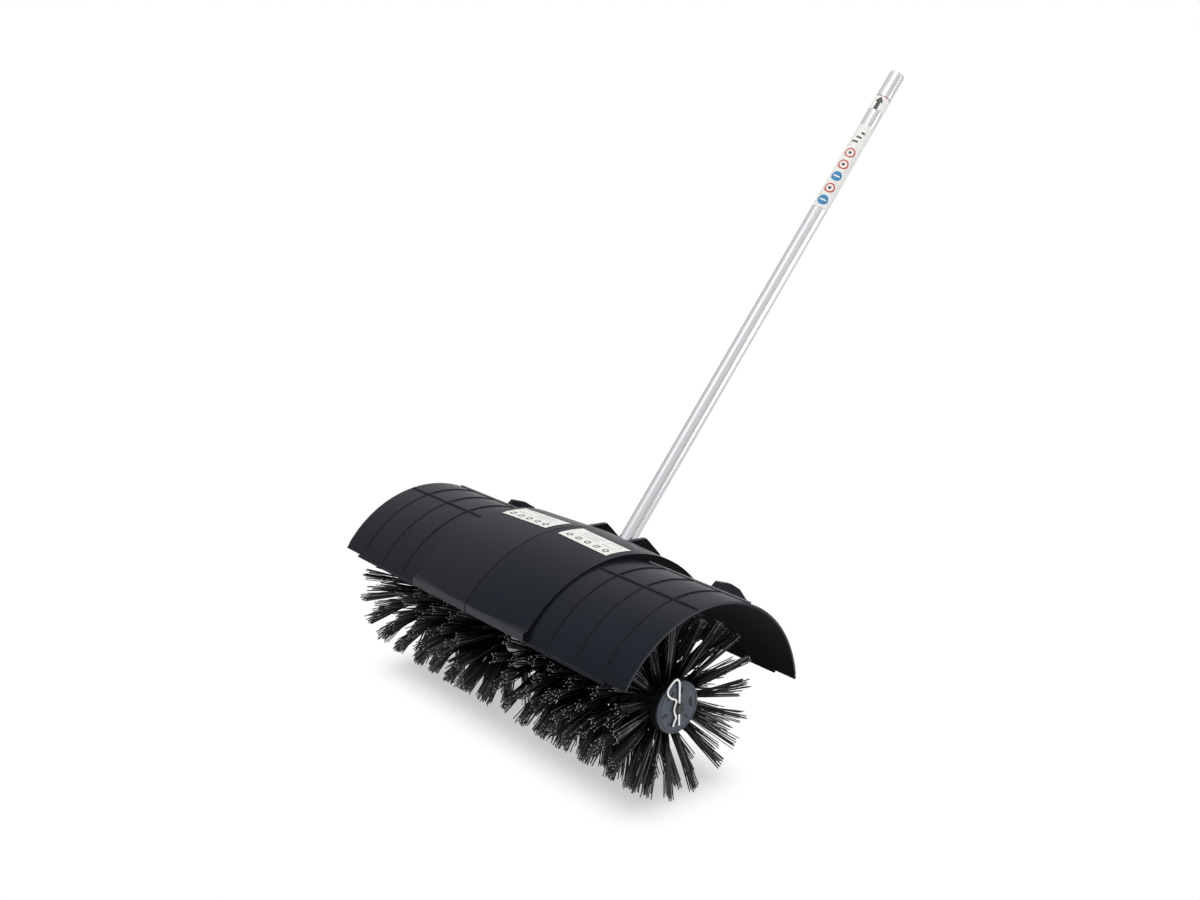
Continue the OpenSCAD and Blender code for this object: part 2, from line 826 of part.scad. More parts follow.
module housing_screws() {
    color(steel) gear_frame()
        for (p = housing_boss)
            along_x(boss_x) translate(p) difference() {
                union() {
                    cylinder(r = head_r, h = head_h);
                    translate([0, 0, 1 - 2 * boss_x]) cylinder(r = screw_r, h = 2 * boss_x);
                }
                translate([0, 0, head_h / 2]) cylinder(r = screw_r, h = head_h, $fn = 6);
            }
}

// Deep-groove ball bearings, drawn with their axis along Z and their side at z = 0.
module outer_race(r_out, pitch_r, ball, w) {
    rotate_extrude() difference() {
        translate([pitch_r + race_rim * ball, 0]) square([r_out - pitch_r - race_rim * ball, w]);
        translate([pitch_r, w / 2]) circle(ball + run);
    }
}

module inner_race(r_in, pitch_r, ball, w) {
    rotate_extrude() difference() {
        translate([r_in + fit, 0]) square([pitch_r - race_rim * ball - r_in - fit, w]);
        translate([pitch_r, w / 2]) circle(ball + run);
    }
}

module ball_set(count, pitch_r, ball, w) {
    for (i = [0:count - 1])
        rotate([0, 0, i * 360 / count]) translate([pitch_r, 0, w / 2]) sphere(ball);
}

module output_outer() {
    at_axis() along_x(bearing_x) outer_race(bearing_r, ball_pitch_r, ball_r, bearing_w);
}

module output_inner() {
    at_axis() along_x(bearing_x) inner_race(journal_r, ball_pitch_r, ball_r, bearing_w);
}

module output_ball_set() {
    at_axis() along_x(bearing_x) ball_set(ball_count, ball_pitch_r, ball_r, bearing_w);
}

module output_bearing_outer_left() {
    color(steel) other_side() output_outer();
}

module output_bearing_outer_right() {
    color(steel) output_outer();
}

module output_bearing_inner_left() {
    color(steel) other_side() output_inner();
}

module output_bearing_inner_right() {
    color(steel) output_inner();
}

module output_balls_left() {
    color(bright_steel) other_side() output_ball_set();
}

module output_balls_right() {
    color(bright_steel) output_ball_set();
}

module output_seal() {
    at_axis() along_x(seal_x) rotate_extrude()
        polygon([
            [bearing_r, 0], [bearing_r, seal_w], [bearing_r - 3, seal_w], [bearing_r - 3, 2],
            [journal_r + 2, 2], [journal_r + 2, seal_w - 1], [journal_r + run, seal_w - 2],
            [journal_r + run, 0.5], [bearing_r - 3, 0.5], [bearing_r - 3, 0]
        ]);
}

module output_seal_left() {
    color(rubber) other_side() output_seal();
}

module output_seal_right() {
    color(rubber) output_seal();
}

module worm_bearing_place(upper) {
    tube_frame() translate([0, 0, upper ? worm_shoulder : -worm_bearing_z]) children();
}

module worm_bearing_outer_upper() {
    color(steel) worm_bearing_place(true)
        outer_race(worm_bearing_r, worm_ball_pitch_r, worm_ball_r, worm_bearing_w);
}

module worm_bearing_outer_lower() {
    color(steel) worm_bearing_place(false)
        outer_race(worm_bearing_r, worm_ball_pitch_r, worm_ball_r, worm_bearing_w);
}

module worm_bearing_inner_upper() {
    color(steel) worm_bearing_place(true)
        inner_race(worm_journal_r, worm_ball_pitch_r, worm_ball_r, worm_bearing_w);
}

module worm_bearing_inner_lower() {
    color(steel) worm_bearing_place(false)
        inner_race(worm_journal_r, worm_ball_pitch_r, worm_ball_r, worm_bearing_w);
}

module worm_balls_upper() {
    color(bright_steel) worm_bearing_place(true)
        ball_set(worm_ball_count, worm_ball_pitch_r, worm_ball_r, worm_bearing_w);
}

module worm_balls_lower() {
    color(bright_steel) worm_bearing_place(false)
        ball_set(worm_ball_count, worm_ball_pitch_r, worm_ball_r, worm_bearing_w);
}

// Worm wheel: straight teeth set over at the lead angle, a gap facing the worm.
module wheel_tooth() {
    slope = tan(pressure_angle);
    sunk = 1;
    foot_half = pitch_half + (dedendum + sunk) * slope;
    tip_half = pitch_half - addendum * slope;
    rotate([0, -lead_angle, 0])
        plate(-wheel_face / 2, wheel_face / 2)
            polygon([
                [wheel_root_r - sunk, -foot_half], [wheel_tip_r, -tip_half],
                [wheel_tip_r, tip_half], [wheel_root_r - sunk, foot_half]
            ]);
}

module worm_wheel() {
    hub_r = journal_r + 5.5;
    web_t = 0.5 * wheel_face;
    rim_t = 5;
    key_gap = 0.05;
    color(bronze) gear_frame() difference() {
        union() {
            for (i = [0:wheel_teeth - 1])
                rotate([(i + 0.5) * 360 / wheel_teeth, 0, 0]) wheel_tooth();
            along_x(-wheel_face / 2) ring(wheel_root_r - rim_t, wheel_root_r, wheel_face);
            along_x(-web_t / 2) cylinder(r = wheel_root_r - 1, h = web_t);
            along_x(-hub_half) cylinder(r = hub_r, h = 2 * hub_half);
        }
        along_x(-hub_half - 1) cylinder(r = journal_r + fit, h = 2 * hub_half + 2);
        translate([-hub_half - 1, 0, -key_w / 2 - key_gap])
            cube([2 * hub_half + 2, journal_r + key_w / 2 + key_gap, key_w + 2 * key_gap]);
    }
}

module wheel_key() {
    color(steel) gear_frame() translate([-hub_half + 2, journal_r - key_w / 2, -key_w / 2])
        cube([2 * hub_half - 4, key_w, key_w]);
}

// Cross shaft: round journal, key seat, hexagon ends and drilled round noses.
module output_shaft() {
    key_gap = 0.05;
    end_x = nose_x + shaft_nose;
    color(steel) difference() {
        union() {
            at_axis() along_x(-core_x) cylinder(r = journal_r, h = 2 * core_x);
            at_axis() along_x(-nose_x) rotate([0, 0, 30]) cylinder(r = hex_r, h = 2 * nose_x, $fn = 6);
            at_axis() along_x() rotate_extrude() polygon([
                [0, -end_x], [nose_r - 1, -end_x], [nose_r, 1 - end_x],
                [nose_r, end_x - 1], [nose_r - 1, end_x], [0, end_x]
            ]);
        }
        gear_frame()
            translate([-hub_half + 2 - key_gap, journal_r - key_w / 2 - key_gap, -key_w / 2 - key_gap])
            cube([2 * hub_half - 4 + 2 * key_gap, key_w, key_w + 2 * key_gap]);
        for (x = [-pin_x, pin_x])
            at_axis() translate([x, 0, -2 * nose_r]) cylinder(r = wire_r + 0.15, h = 4 * nose_r);
    }
}

// Brush core: a drum with a hexagon bore, closed by a web at its inner end.
module brush_core() {
    hub_r = hex_r + core_wall;
    web_t = core_wall + 2;
    len = disc_x - core_x;
    at_axis() along_x(core_x) difference() {
        rotate_extrude() polygon([
            [0, 0], [core_r, 0], [core_r, len], [core_r - core_wall, len], [core_r - core_wall, web_t],
            [hub_r, web_t], [hub_r, len], [0, len]
        ]);
        translate([0, 0, -1]) rotate([0, 0, 30]) cylinder(r = hex_r + 0.1, h = len + 2, $fn = 6);
    }
}

module brush_core_left() {
    color(dark_grey) other_side() brush_core();
}

module brush_core_right() {
    color(dark_grey) brush_core();
}

// End disc: closes the core, with a bevelled rim and a groove in its outer face.
module end_disc() {
    bevel = 1;
    groove_w = 1.5;
    groove_depth = 0.6;
    at_axis() along_x(disc_x) difference() {
        union() {
            cylinder(r = disc_r, h = disc_t - bevel);
            translate([0, 0, disc_t - bevel]) cylinder(r1 = disc_r, r2 = disc_r - bevel, h = bevel);
        }
        translate([0, 0, disc_t - groove_depth]) ring(disc_r - 5, disc_r - 5 + groove_w, 1);
        translate([0, 0, -1]) rotate([0, 0, 30]) cylinder(r = hex_r + 0.1, h = disc_t + 2, $fn = 6);
    }
}

module end_disc_left() {
    color(dark_grey) other_side() end_disc();
}

module end_disc_right() {
    color(dark_grey) end_disc();
}

// Bristles of one half: a ring of root cells, each grown into a three-sided tuft.
function around(x, r, a) = [x, r * cos(a), r * sin(a)];
function cell_turn(row, col) = -90 + cell_a * col + row_shear * row;
function ring_x(k) = ring_x0 + (ring_x1 - ring_x0) * k / tuft_rows;
function grid_point(k, j, r) = around(ring_x(k), r, cell_turn(k - 0.5, j - 0.5));
function stood(p) = [p[0], p[1], max(p[2], -axis_z)];
function tuft_corner(x, r, turn, spread, i) =
    let (b = 120 * i, side = spread * sin(b))
    [x + spread * cos(b), r * cos(turn) - side * sin(turn), r * sin(turn) + side * cos(turn)];

module bristle_half() {
    rows = tuft_rows;
    cols = tufts_round;
    inner_r = (core_r + gap) / cos(cell_a / 2);
    grid = [for (k = [0:rows], j = [0:cols - 1]) grid_point(k, j, root_r)];
    inner = [for (k = [0, rows], j = [0:cols - 1]) grid_point(k, j, inner_r)];
    tufts = [for (k = [0:rows - 1], j = [0:cols - 1])
        let (turn = cell_turn(k, j), x0 = (ring_x(k) + ring_x(k + 1)) / 2,
            x1 = tuft_x0 + (tuft_x1 - tuft_x0) * k / (rows - 1))
        each concat(
            [for (i = [0:2]) tuft_corner(x0, root_r, turn, tuft_root_r, i)],
            [for (i = [0:2]) stood(tuft_corner(x1, tip_reach, turn, tuft_tip_r, i))])];
    n_grid = len(grid);
    n_inner = n_grid + len(inner);
    shift = floor(rows / 2);
    function g(k, j) = k * cols + (j + cols) % cols;
    function n(end, j) = n_grid + end * cols + (j + 2 * cols) % cols;
    function t(k, j, i) = n_inner + (k * cols + j) * 6 + i;
    cells = [for (k = [0:rows - 1], j = [0:cols - 1])
        let (a = g(k, j), b = g(k, j + 1), c = g(k + 1, j + 1), d = g(k + 1, j),
            r0 = t(k, j, 0), r1 = t(k, j, 1), r2 = t(k, j, 2),
            s0 = t(k, j, 3), s1 = t(k, j, 4), s2 = t(k, j, 5))
        each [
            [a, d, r2], [d, r0, r2], [d, c, r0], [c, b, r1], [c, r1, r0], [b, a, r2], [b, r2, r1],
            [r2, r0, s0], [r2, s0, s2], [r0, r1, s1], [r0, s1, s0], [r1, r2, s2], [r1, s2, s1],
            [s2, s0, s1]
        ]];
    ends = [for (j = [0:cols - 1])
        each [
            [g(0, j), g(0, j + 1), n(0, j + 1)], [g(0, j), n(0, j + 1), n(0, j)],
            [g(rows, j + 1), g(rows, j), n(1, j)], [g(rows, j + 1), n(1, j), n(1, j + 1)],
            [n(0, j), n(0, j + 1), n(1, j + 1 - shift)], [n(0, j), n(1, j + 1 - shift), n(1, j - shift)]
        ]];
    at_axis() polyhedron(concat(grid, inner, tufts), concat(cells, ends));
}

module bristles_left() {
    color(bristle_black) other_side() bristle_half();
}

module bristles_right() {
    color(bristle_black) bristle_half();
}

// Worm shaft: the thread is a surface whose radius follows the distance from the
// nearest crest. Journals, shoulders and a square socket are turned on its ends.
function thread_r(z) =
    let (d = abs(z - thread_pitch * round(z / thread_pitch)), slope = tan(pressure_angle),
        r = worm_pitch_r + (pitch_half - d) / slope)
    max(worm_root_r, min(worm_tip_r, r));

module worm_thread() {
    cols = 24;
    rows = ceil(10 * worm_len / thread_pitch);
    points = [for (k = [0:rows], j = [0:cols - 1])
        let (z = -worm_len / 2 + worm_len * k / rows, a = 360 * j / cols,
            r = thread_r(z - thread_pitch * (a - 270) / 360))
        [r * cos(a), r * sin(a), z]];
    function p(k, j) = k * cols + j % cols;
    bottom = len(points);
    sides = [for (k = [0:rows - 1], j = [0:cols - 1])
        each [[p(k, j), p(k + 1, j), p(k + 1, j + 1)], [p(k, j), p(k + 1, j + 1), p(k, j + 1)]]];
    caps = [for (j = [0:cols - 1])
        each [[bottom, p(0, j), p(0, j + 1)], [bottom + 1, p(rows, j + 1), p(rows, j)]]];
    polyhedron(concat(points, [[0, 0, -worm_len / 2], [0, 0, worm_len / 2]]), concat(sides, caps));
}

module worm_shaft() {
    shoulder_r = worm_journal_r + 1.5;
    head_len = socket_len + 1;
    square_gap = 0.1;
    color(steel) tube_frame() difference() {
        union() {
            worm_thread();
            translate([0, 0, -worm_shoulder]) cylinder(r = shoulder_r, h = 2 * worm_shoulder);
            translate([0, 0, -worm_bearing_z]) cylinder(r = worm_journal_r, h = 2 * worm_bearing_z);
            translate([0, 0, worm_bearing_z]) cylinder(r = drive_d / 2 + 3.5, h = head_len);
        }
        translate([-drive_square / 2 - square_gap, -drive_square / 2 - square_gap, worm_bearing_z + 1])
            cube([drive_square + 2 * square_gap, drive_square + 2 * square_gap, head_len]);
    }
}

// Drive shaft: a round rod with a square at each end.
module drive_shaft() {
    low = worm_bearing_z + 1 + gap;
    high = tube_tip - 0.5;
    square_top = rim_recess;
    color(steel) tube_frame() {
        translate([0, 0, low + socket_len])
            cylinder(r = drive_d / 2, h = high - square_top - low - socket_len);
        intersection() {
            translate([0, 0, low]) cylinder(r = drive_d / 2, h = high - low);
            translate([-drive_square / 2, -drive_square / 2, low])
                cube([drive_square, drive_square, high - low]);
        }
    }
}

// Hitch pin: one bent wire, drawn in the plane across the shaft. The straight leg
// runs along Z through the shaft, the bow stands above it, and the second leg
// waves round the outside of the shaft on the front side.
pin_route = [
    [0, -leg_below], [0, -leg_below / 2], [0, 0], [0, bow_top / 3], [0, 0.6 * bow_top], [0, bow_top - 8],
    [-0.07 * bow_side, bow_top - 2.6], [-0.24 * bow_side, bow_top], [-0.46 * bow_side, bow_top - 1],
    [-0.72 * bow_side, 0.89 * bow_top], [-0.94 * bow_side, 0.78 * bow_top], [-bow_side, 0.67 * bow_top],
    [-0.88 * bow_side, 0.54 * bow_top], [-0.62 * bow_side, 0.42 * bow_top],
    [-0.36 * bow_side, 0.35 * bow_top], [-waist_side, 0.27 * bow_top],
    [-grip_side + 1.3, 0.14 * bow_top], [-grip_side, 0], [-grip_side + 1.3, -0.14 * bow_top],
    [-waist_side, -0.27 * bow_top], [-grip_side + 1, -0.38 * bow_top], [-grip_side - 2, -leg_below + 1.5]
];
function pin_at(i) = pin_route[max(0, min(len(pin_route) - 1, i))];
function smooth(a, b, c, d, u) =
    0.5 * (2 * b + (c - a) * u + (2 * a - 5 * b + 4 * c - d) * u * u + (3 * b - a - 3 * c + d) * u * u * u);
pin_line = concat(
    [for (i = [0:len(pin_route) - 2], s = [0:wire_steps - 1])
        smooth(pin_at(i - 1), pin_at(i), pin_at(i + 1), pin_at(i + 2), s / wire_steps)],
    [pin_at(len(pin_route) - 1)]);

module wire_pin() {
    last = len(pin_line) - 1;
    rings = [for (i = [0:last], s = [0:wire_sides - 1])
        let (ahead = pin_line[min(last, i + 1)] - pin_line[max(0, i - 1)], way = ahead / norm(ahead),
            b = 360 * (s + 0.5) / wire_sides, flat = wire_r * cos(b))
        [wire_r * sin(b), pin_line[i][0] - way[1] * flat, pin_line[i][1] + way[0] * flat]];
    function p(i, s) = i * wire_sides + s % wire_sides;
    skin = [for (i = [0:last - 1], s = [0:wire_sides - 1])
        each [[p(i, s), p(i, s + 1), p(i + 1, s + 1)], [p(i, s), p(i + 1, s + 1), p(i + 1, s)]]];
    caps = [for (s = [1:wire_sides - 2])
        each [[p(0, 0), p(0, s + 1), p(0, s)], [p(last, 0), p(last, s), p(last, s + 1)]]];
    polyhedron(rings, concat(skin, caps));
}

module hitch_pin_left() {
    color(bright_steel) at_axis() translate([-pin_x, 0, 0]) wire_pin();
}

module hitch_pin_right() {
    color(bright_steel) at_axis() translate([pin_x, 0, 0]) wire_pin();
}

guard_left();
guard_right();
guard_label_left();
guard_label_right();
guard_stay_left();
guard_stay_right();
stay_bolts();
tube_clamp_front();
tube_clamp_rear();
clamp_screws();
guard_screws();
drive_tube();
insertion_mark();
depth_label();
tube_label();
tip_bush();
liner_bushes();
gear_housing_left();
gear_housing_right();
housing_screws();
filler_plug();
output_bearing_outer_left();
output_bearing_outer_right();
output_seal_left();
output_seal_right();
worm_bearing_outer_upper();
worm_bearing_outer_lower();
output_shaft();
worm_wheel();
wheel_key();
output_bearing_inner_left();
output_bearing_inner_right();
brush_core_left();
brush_core_right();
bristles_left();
bristles_right();
end_disc_left();
end_disc_right();
worm_shaft();
drive_shaft();
worm_bearing_inner_upper();
worm_bearing_inner_lower();
output_balls_left();
output_balls_right();
worm_balls_upper();
worm_balls_lower();
hitch_pin_left();
hitch_pin_right();
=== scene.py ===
import json
import math
import random

import bpy
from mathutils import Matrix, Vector


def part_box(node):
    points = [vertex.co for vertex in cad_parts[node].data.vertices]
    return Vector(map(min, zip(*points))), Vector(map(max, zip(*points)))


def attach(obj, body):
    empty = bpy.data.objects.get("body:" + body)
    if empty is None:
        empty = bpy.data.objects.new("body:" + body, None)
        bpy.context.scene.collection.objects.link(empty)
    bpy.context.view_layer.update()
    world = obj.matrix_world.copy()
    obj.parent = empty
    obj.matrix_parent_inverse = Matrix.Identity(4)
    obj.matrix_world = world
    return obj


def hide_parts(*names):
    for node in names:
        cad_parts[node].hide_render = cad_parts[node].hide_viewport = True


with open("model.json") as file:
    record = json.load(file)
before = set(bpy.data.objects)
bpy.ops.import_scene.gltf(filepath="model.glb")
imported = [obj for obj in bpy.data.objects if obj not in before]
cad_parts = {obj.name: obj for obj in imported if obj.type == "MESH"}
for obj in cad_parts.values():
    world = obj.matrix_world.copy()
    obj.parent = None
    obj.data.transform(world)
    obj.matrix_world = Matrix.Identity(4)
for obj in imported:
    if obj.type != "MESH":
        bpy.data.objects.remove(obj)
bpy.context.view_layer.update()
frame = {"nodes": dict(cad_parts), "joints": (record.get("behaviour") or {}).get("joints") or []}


# Gear housing: two die-cast aluminium halves, bare and slightly rough, screwed together
# round the worm, the wheel and the foot of the tube. The tube clamp is cast in the same metal.
class Wire:
    """A socket in a material's node tree. Arithmetic on it adds Math nodes."""

    def __init__(self, tree, socket=None):
        self.tree = tree
        self.socket = socket

    def add(self, kind, settings, sockets, out=0):
        node = self.tree.nodes.new("ShaderNode" + kind)
        for name, value in settings.items():
            setattr(node, name, value)
        for name, value in sockets.items():
            if isinstance(value, Wire):
                self.tree.links.new(value.socket, node.inputs[name])
            else:
                node.inputs[name].default_value = value
        return Wire(self.tree, node.outputs[out] if len(node.outputs) else None)

    def math(self, operation, *values):
        return self.add("Math", {"operation": operation}, dict(enumerate(values)))

    def __add__(self, other):
        return self.math("ADD", self, other)

    def __radd__(self, other):
        return self.math("ADD", other, self)

    def __sub__(self, other):
        return self.math("SUBTRACT", self, other)

    def __rsub__(self, other):
        return self.math("SUBTRACT", other, self)

    def __mul__(self, other):
        return self.math("MULTIPLY", self, other)

    def __rmul__(self, other):
        return self.math("MULTIPLY", other, self)

    def __abs__(self):
        return self.math("ABSOLUTE", self)

    def rise(self, low, high):
        """0 at low, 1 at high, and even between them."""
        return self.add("MapRange", {"clamp": True}, {0: self, 1: low, 2: high})

    def between(self, low, high):
        """The colour that goes from low to high as this value goes from 0 to 1."""
        return self.add("Mix", {"data_type": "RGBA"}, {0: self, 6: low, 7: high}, 2)


def surface(name, paint):
    """A material whose shader paint() wires up, given the object's own coordinates."""
    material = bpy.data.materials.new(name)
    material.use_nodes = True
    material.node_tree.nodes.clear()
    wire = Wire(material.node_tree)
    place = wire.add("TexCoord", {}, {}, "Object")
    wire.add("OutputMaterial", {}, {"Surface": paint(wire, place)})
    return material


def dress(material, *nodes):
    for name in nodes:
        piece = frame["nodes"][name]
        if not piece.material_slots:
            piece.data.materials.append(material)
        for slot in piece.material_slots:
            slot.material = material


def cast_aluminium(w, place):
    skin = w.add("TexNoise", {}, {"Vector": place, "Scale": 700, "Detail": 4})
    cloud = w.add("TexNoise", {}, {"Vector": place, "Scale": 45, "Detail": 3})
    bump = w.add("Bump", {}, {"Strength": 0.35, "Distance": 0.0002, "Height": skin})
    return w.add("BsdfPrincipled", {}, {
        "Base Color": cloud.rise(0.3, 0.7).between((0.36, 0.37, 0.38, 1), (0.52, 0.53, 0.54, 1)),
        "Metallic": 0.85, "Roughness": 0.42 + 0.2 * skin, "Normal": bump})


dress(surface("cast aluminium", cast_aluminium),
      "gear_housing_left", "gear_housing_right", "tube_clamp_front", "tube_clamp_rear")


# Gears and shafts: a ground steel worm drives a bronze wheel keyed on the hexagonal output shaft,
# which is blacked against rust. The long drive shaft is plain bar, and the key is cut from it.
def ground_steel(w, place):
    lines = w.add("TexNoise", {}, {"Vector": place, "Scale": 1600, "Detail": 2})
    film = w.add("TexNoise", {}, {"Vector": place, "Scale": 60, "Detail": 4})
    bump = w.add("Bump", {}, {"Strength": 0.12, "Distance": 0.0001, "Height": lines})
    return w.add("BsdfPrincipled", {}, {
        "Base Color": film.rise(0.35, 0.7).between((0.56, 0.57, 0.59, 1), (0.46, 0.46, 0.46, 1)),
        "Metallic": 1.0, "Roughness": 0.24 + 0.16 * film, "Normal": bump})


def cut_bronze(w, place):
    lines = w.add("TexNoise", {}, {"Vector": place, "Scale": 900, "Detail": 2})
    tarnish = w.add("TexNoise", {}, {"Vector": place, "Scale": 80, "Detail": 4})
    bump = w.add("Bump", {}, {"Strength": 0.15, "Distance": 0.0001, "Height": lines})
    return w.add("BsdfPrincipled", {}, {
        "Base Color": tarnish.rise(0.35, 0.7).between((0.66, 0.46, 0.20, 1), (0.44, 0.29, 0.12, 1)),
        "Metallic": 1.0, "Roughness": 0.3 + 0.2 * tarnish, "Normal": bump})


def black_oxide(w, place):
    cloud = w.add("TexNoise", {}, {"Vector": place, "Scale": 110, "Detail": 4})
    grain = w.add("TexNoise", {}, {"Vector": place, "Scale": 1500, "Detail": 2})
    bump = w.add("Bump", {}, {"Strength": 0.15, "Distance": 0.0001, "Height": grain})
    return w.add("BsdfPrincipled", {}, {
        "Base Color": cloud.rise(0.4, 0.8).between(
            (0.035, 0.036, 0.040, 1), (0.10, 0.10, 0.105, 1)),
        "Metallic": 0.6, "Roughness": 0.34 + 0.2 * cloud, "Normal": bump})


dress(surface("ground steel", ground_steel), "worm_shaft", "wheel_key", "drive_shaft")
dress(surface("black oxide", black_oxide), "output_shaft")
dress(surface("cut bronze", cut_bronze), "worm_wheel")


# Bearings and seals: polished races and balls carry both shafts, and black rubber lip seals
# close the ends of the gear chamber against grit.
def polished_steel(w, place):
    smear = w.add("TexNoise", {}, {"Vector": place, "Scale": 140, "Detail": 5})
    scratch = w.add("TexNoise", {}, {"Vector": place, "Scale": 2400, "Detail": 1})
    bump = w.add("Bump", {}, {"Strength": 0.04, "Distance": 0.00005, "Height": scratch})
    return w.add("BsdfPrincipled", {}, {
        "Base Color": smear.rise(0.3, 0.75).between((0.74, 0.75, 0.76, 1), (0.60, 0.61, 0.63, 1)),
        "Metallic": 1.0, "Roughness": 0.12 + 0.14 * smear, "Normal": bump})


def seal_rubber(w, place):
    bloom = w.add("TexNoise", {}, {"Vector": place, "Scale": 220, "Detail": 5})
    bump = w.add("Bump", {}, {"Strength": 0.2, "Distance": 0.0001, "Height": bloom})
    return w.add("BsdfPrincipled", {}, {
        "Base Color": bloom.rise(0.4, 0.8).between((0.012, 0.012, 0.013, 1), (0.05, 0.05, 0.05, 1)),
        "Roughness": 0.6 + 0.2 * bloom, "Normal": bump})


race_steel = surface("polished steel", polished_steel)
for shaft, ends in (("output", ("left", "right")), ("worm", ("upper", "lower"))):
    for end in ends:
        dress(race_steel, f"{shaft}_bearing_outer_{end}", f"{shaft}_bearing_inner_{end}",
              f"{shaft}_balls_{end}")
dress(surface("seal rubber", seal_rubber), "output_seal_left", "output_seal_right")


# Screws: zinc-plated machine screws, the oil filler plug among them, with a faint yellow tint
# that thins out where a spanner or key has rubbed the heads.
def zinc_plate(w, place):
    tint = w.add("TexNoise", {}, {"Vector": place, "Scale": 160, "Detail": 3})
    grain = w.add("TexNoise", {}, {"Vector": place, "Scale": 1800, "Detail": 2})
    bump = w.add("Bump", {}, {"Strength": 0.15, "Distance": 0.0001, "Height": grain})
    return w.add("BsdfPrincipled", {}, {
        "Base Color": tint.rise(0.35, 0.65).between((0.62, 0.62, 0.62, 1), (0.58, 0.55, 0.46, 1)),
        "Metallic": 1.0, "Roughness": 0.28 + 0.22 * grain, "Normal": bump})


dress(surface("zinc plate", zinc_plate),
      "housing_screws", "filler_plug", "clamp_screws", "guard_screws", "stay_bolts")


# Drive tube: drawn aluminium, bare and bright, with fine die lines that run along it.
# Nylon bushes inside carry the drive shaft, and the topmost one shows in its mouth.
drive_joint = next(joint for joint in frame["joints"] if joint["name"] == "drive_spin")
tube_foot = Vector(drive_joint["pos_m"])
tube_way = Vector(drive_joint["axis"])
tube_side = Vector((1, 0, 0))
tube_front = tube_way.cross(tube_side)
tube_r = 0.0127


def along(w, place, way, start=tube_foot):
    """How far a point lies along a direction, from start."""
    off = w.add("VectorMath", {"operation": "SUBTRACT"}, {0: place, 1: start})
    return w.add("VectorMath", {"operation": "DOT_PRODUCT"}, {0: off, 1: way}, "Value")


def drawn_aluminium(w, place):
    run = along(w, place, tube_way)
    side = along(w, place, tube_side)
    front = along(w, place, tube_front)
    drawn = w.add("CombineXYZ", {}, {0: side, 1: front, 2: run * 0.012})
    die_lines = w.add("TexNoise", {}, {"Vector": drawn, "Scale": 900, "Detail": 3})
    handling = w.add("TexNoise", {}, {"Vector": place, "Scale": 38, "Detail": 5})
    bump = w.add("Bump", {}, {"Strength": 0.02, "Distance": 0.0001, "Height": die_lines})
    dulled = handling.rise(0.45, 0.75)
    return w.add("BsdfPrincipled", {}, {
        "Base Color": (0.6 * die_lines + 0.4 * handling).between(
            (0.62, 0.63, 0.645, 1), (0.54, 0.55, 0.565, 1)),
        "Metallic": 1.0, "Roughness": 0.2 + 0.06 * die_lines + 0.08 * dulled, "Normal": bump})


def bush_nylon(w, place):
    milky = w.add("TexNoise", {}, {"Vector": place, "Scale": 300, "Detail": 4})
    bump = w.add("Bump", {}, {"Strength": 0.1, "Distance": 0.0001, "Height": milky})
    return w.add("BsdfPrincipled", {}, {
        "Base Color": milky.rise(0.3, 0.7).between((0.66, 0.62, 0.52, 1), (0.54, 0.50, 0.41, 1)),
        "Roughness": 0.42 + 0.15 * milky, "Normal": bump})


dress(surface("drawn aluminium", drawn_aluminium), "drive_tube")
dress(surface("bush nylon", bush_nylon), "tip_bush", "liner_bushes")


# Insertion mark: a groove rolled into the tube and filled with dark red paint, which shows how far
# the tube goes into the power unit. A white band below it carries an arrow towards the mark.
def mark_paint(w, place):
    wear_and_painted_highlight = w.add("TexNoise", {}, {"Vector": place, "Scale": 500, "Detail": 4})
    return w.add("BsdfPrincipled", {}, {
        "Base Color": wear_and_painted_highlight.rise(0.4, 0.8).between((0.26, 0.02, 0.02, 1), (0.36, 0.07, 0.06, 1)),
        "Roughness": 0.45 + 0.2 * wear_and_painted_highlight})


def tube_places(w, place):
    """Metres up the tube, and round it from the line that faces forward and right."""
    angle = w.math("ARCTAN2", along(w, place, tube_front), along(w, place, tube_side))
    facing = math.radians(-45)
    return along(w, place, tube_way), (angle - facing) * tube_r


def film_finish(w, place, ink):
    """White vinyl film, slightly soiled, with a colour printed on it."""
    soil = w.add("TexNoise", {}, {"Vector": place, "Scale": 120, "Detail": 5})
    clean = soil.rise(0.35, 0.8).between((0.80, 0.79, 0.76, 1), (0.70, 0.69, 0.66, 1))
    return w.add("BsdfPrincipled", {}, {
        "Base Color": ink(clean), "Roughness": 0.34 + 0.18 * soil})


def inside(distance, edge=0.0002):
    """1 where a distance is below zero, with a soft edge."""
    return distance.rise(edge, -edge)


def bar(w, x, y, middle, half):
    """Distance to the edge of a rectangle, below zero inside it."""
    across = abs(x - middle[0]) - half[0]
    up = abs(y - middle[1]) - half[1]
    return w.math("MAXIMUM", across, up)


def disc(w, x, y, middle, radius):
    """Distance to the edge of a disc, below zero inside it."""
    dx = x - middle[0]
    dy = y - middle[1]
    return w.math("SQRT", dx * dx + dy * dy) - radius


def printed(w, mask, ink, ground):
    return w.add("Mix", {"data_type": "RGBA"}, {0: mask, 6: ground, 7: ink}, 2)


def arrow_band(w, place):
    up, across = tube_places(w, place)
    head = 0.011
    head_slope = 0.62
    shaft_up = arrow_top - head / 2 - 0.013
    shaft_half = (0.0032, 0.0085)
    shaft = bar(w, across, up, (arrow_across, shaft_up), shaft_half)
    from_tip = arrow_top - up
    head_edge = abs(across - arrow_across) - from_tip * head_slope
    point = w.math("MAXIMUM", head_edge, from_tip - head)
    both = w.math("MINIMUM", shaft, point)
    black = (0.012, 0.012, 0.013, 1)
    return film_finish(w, place, lambda ground: printed(w, inside(both), black, ground))


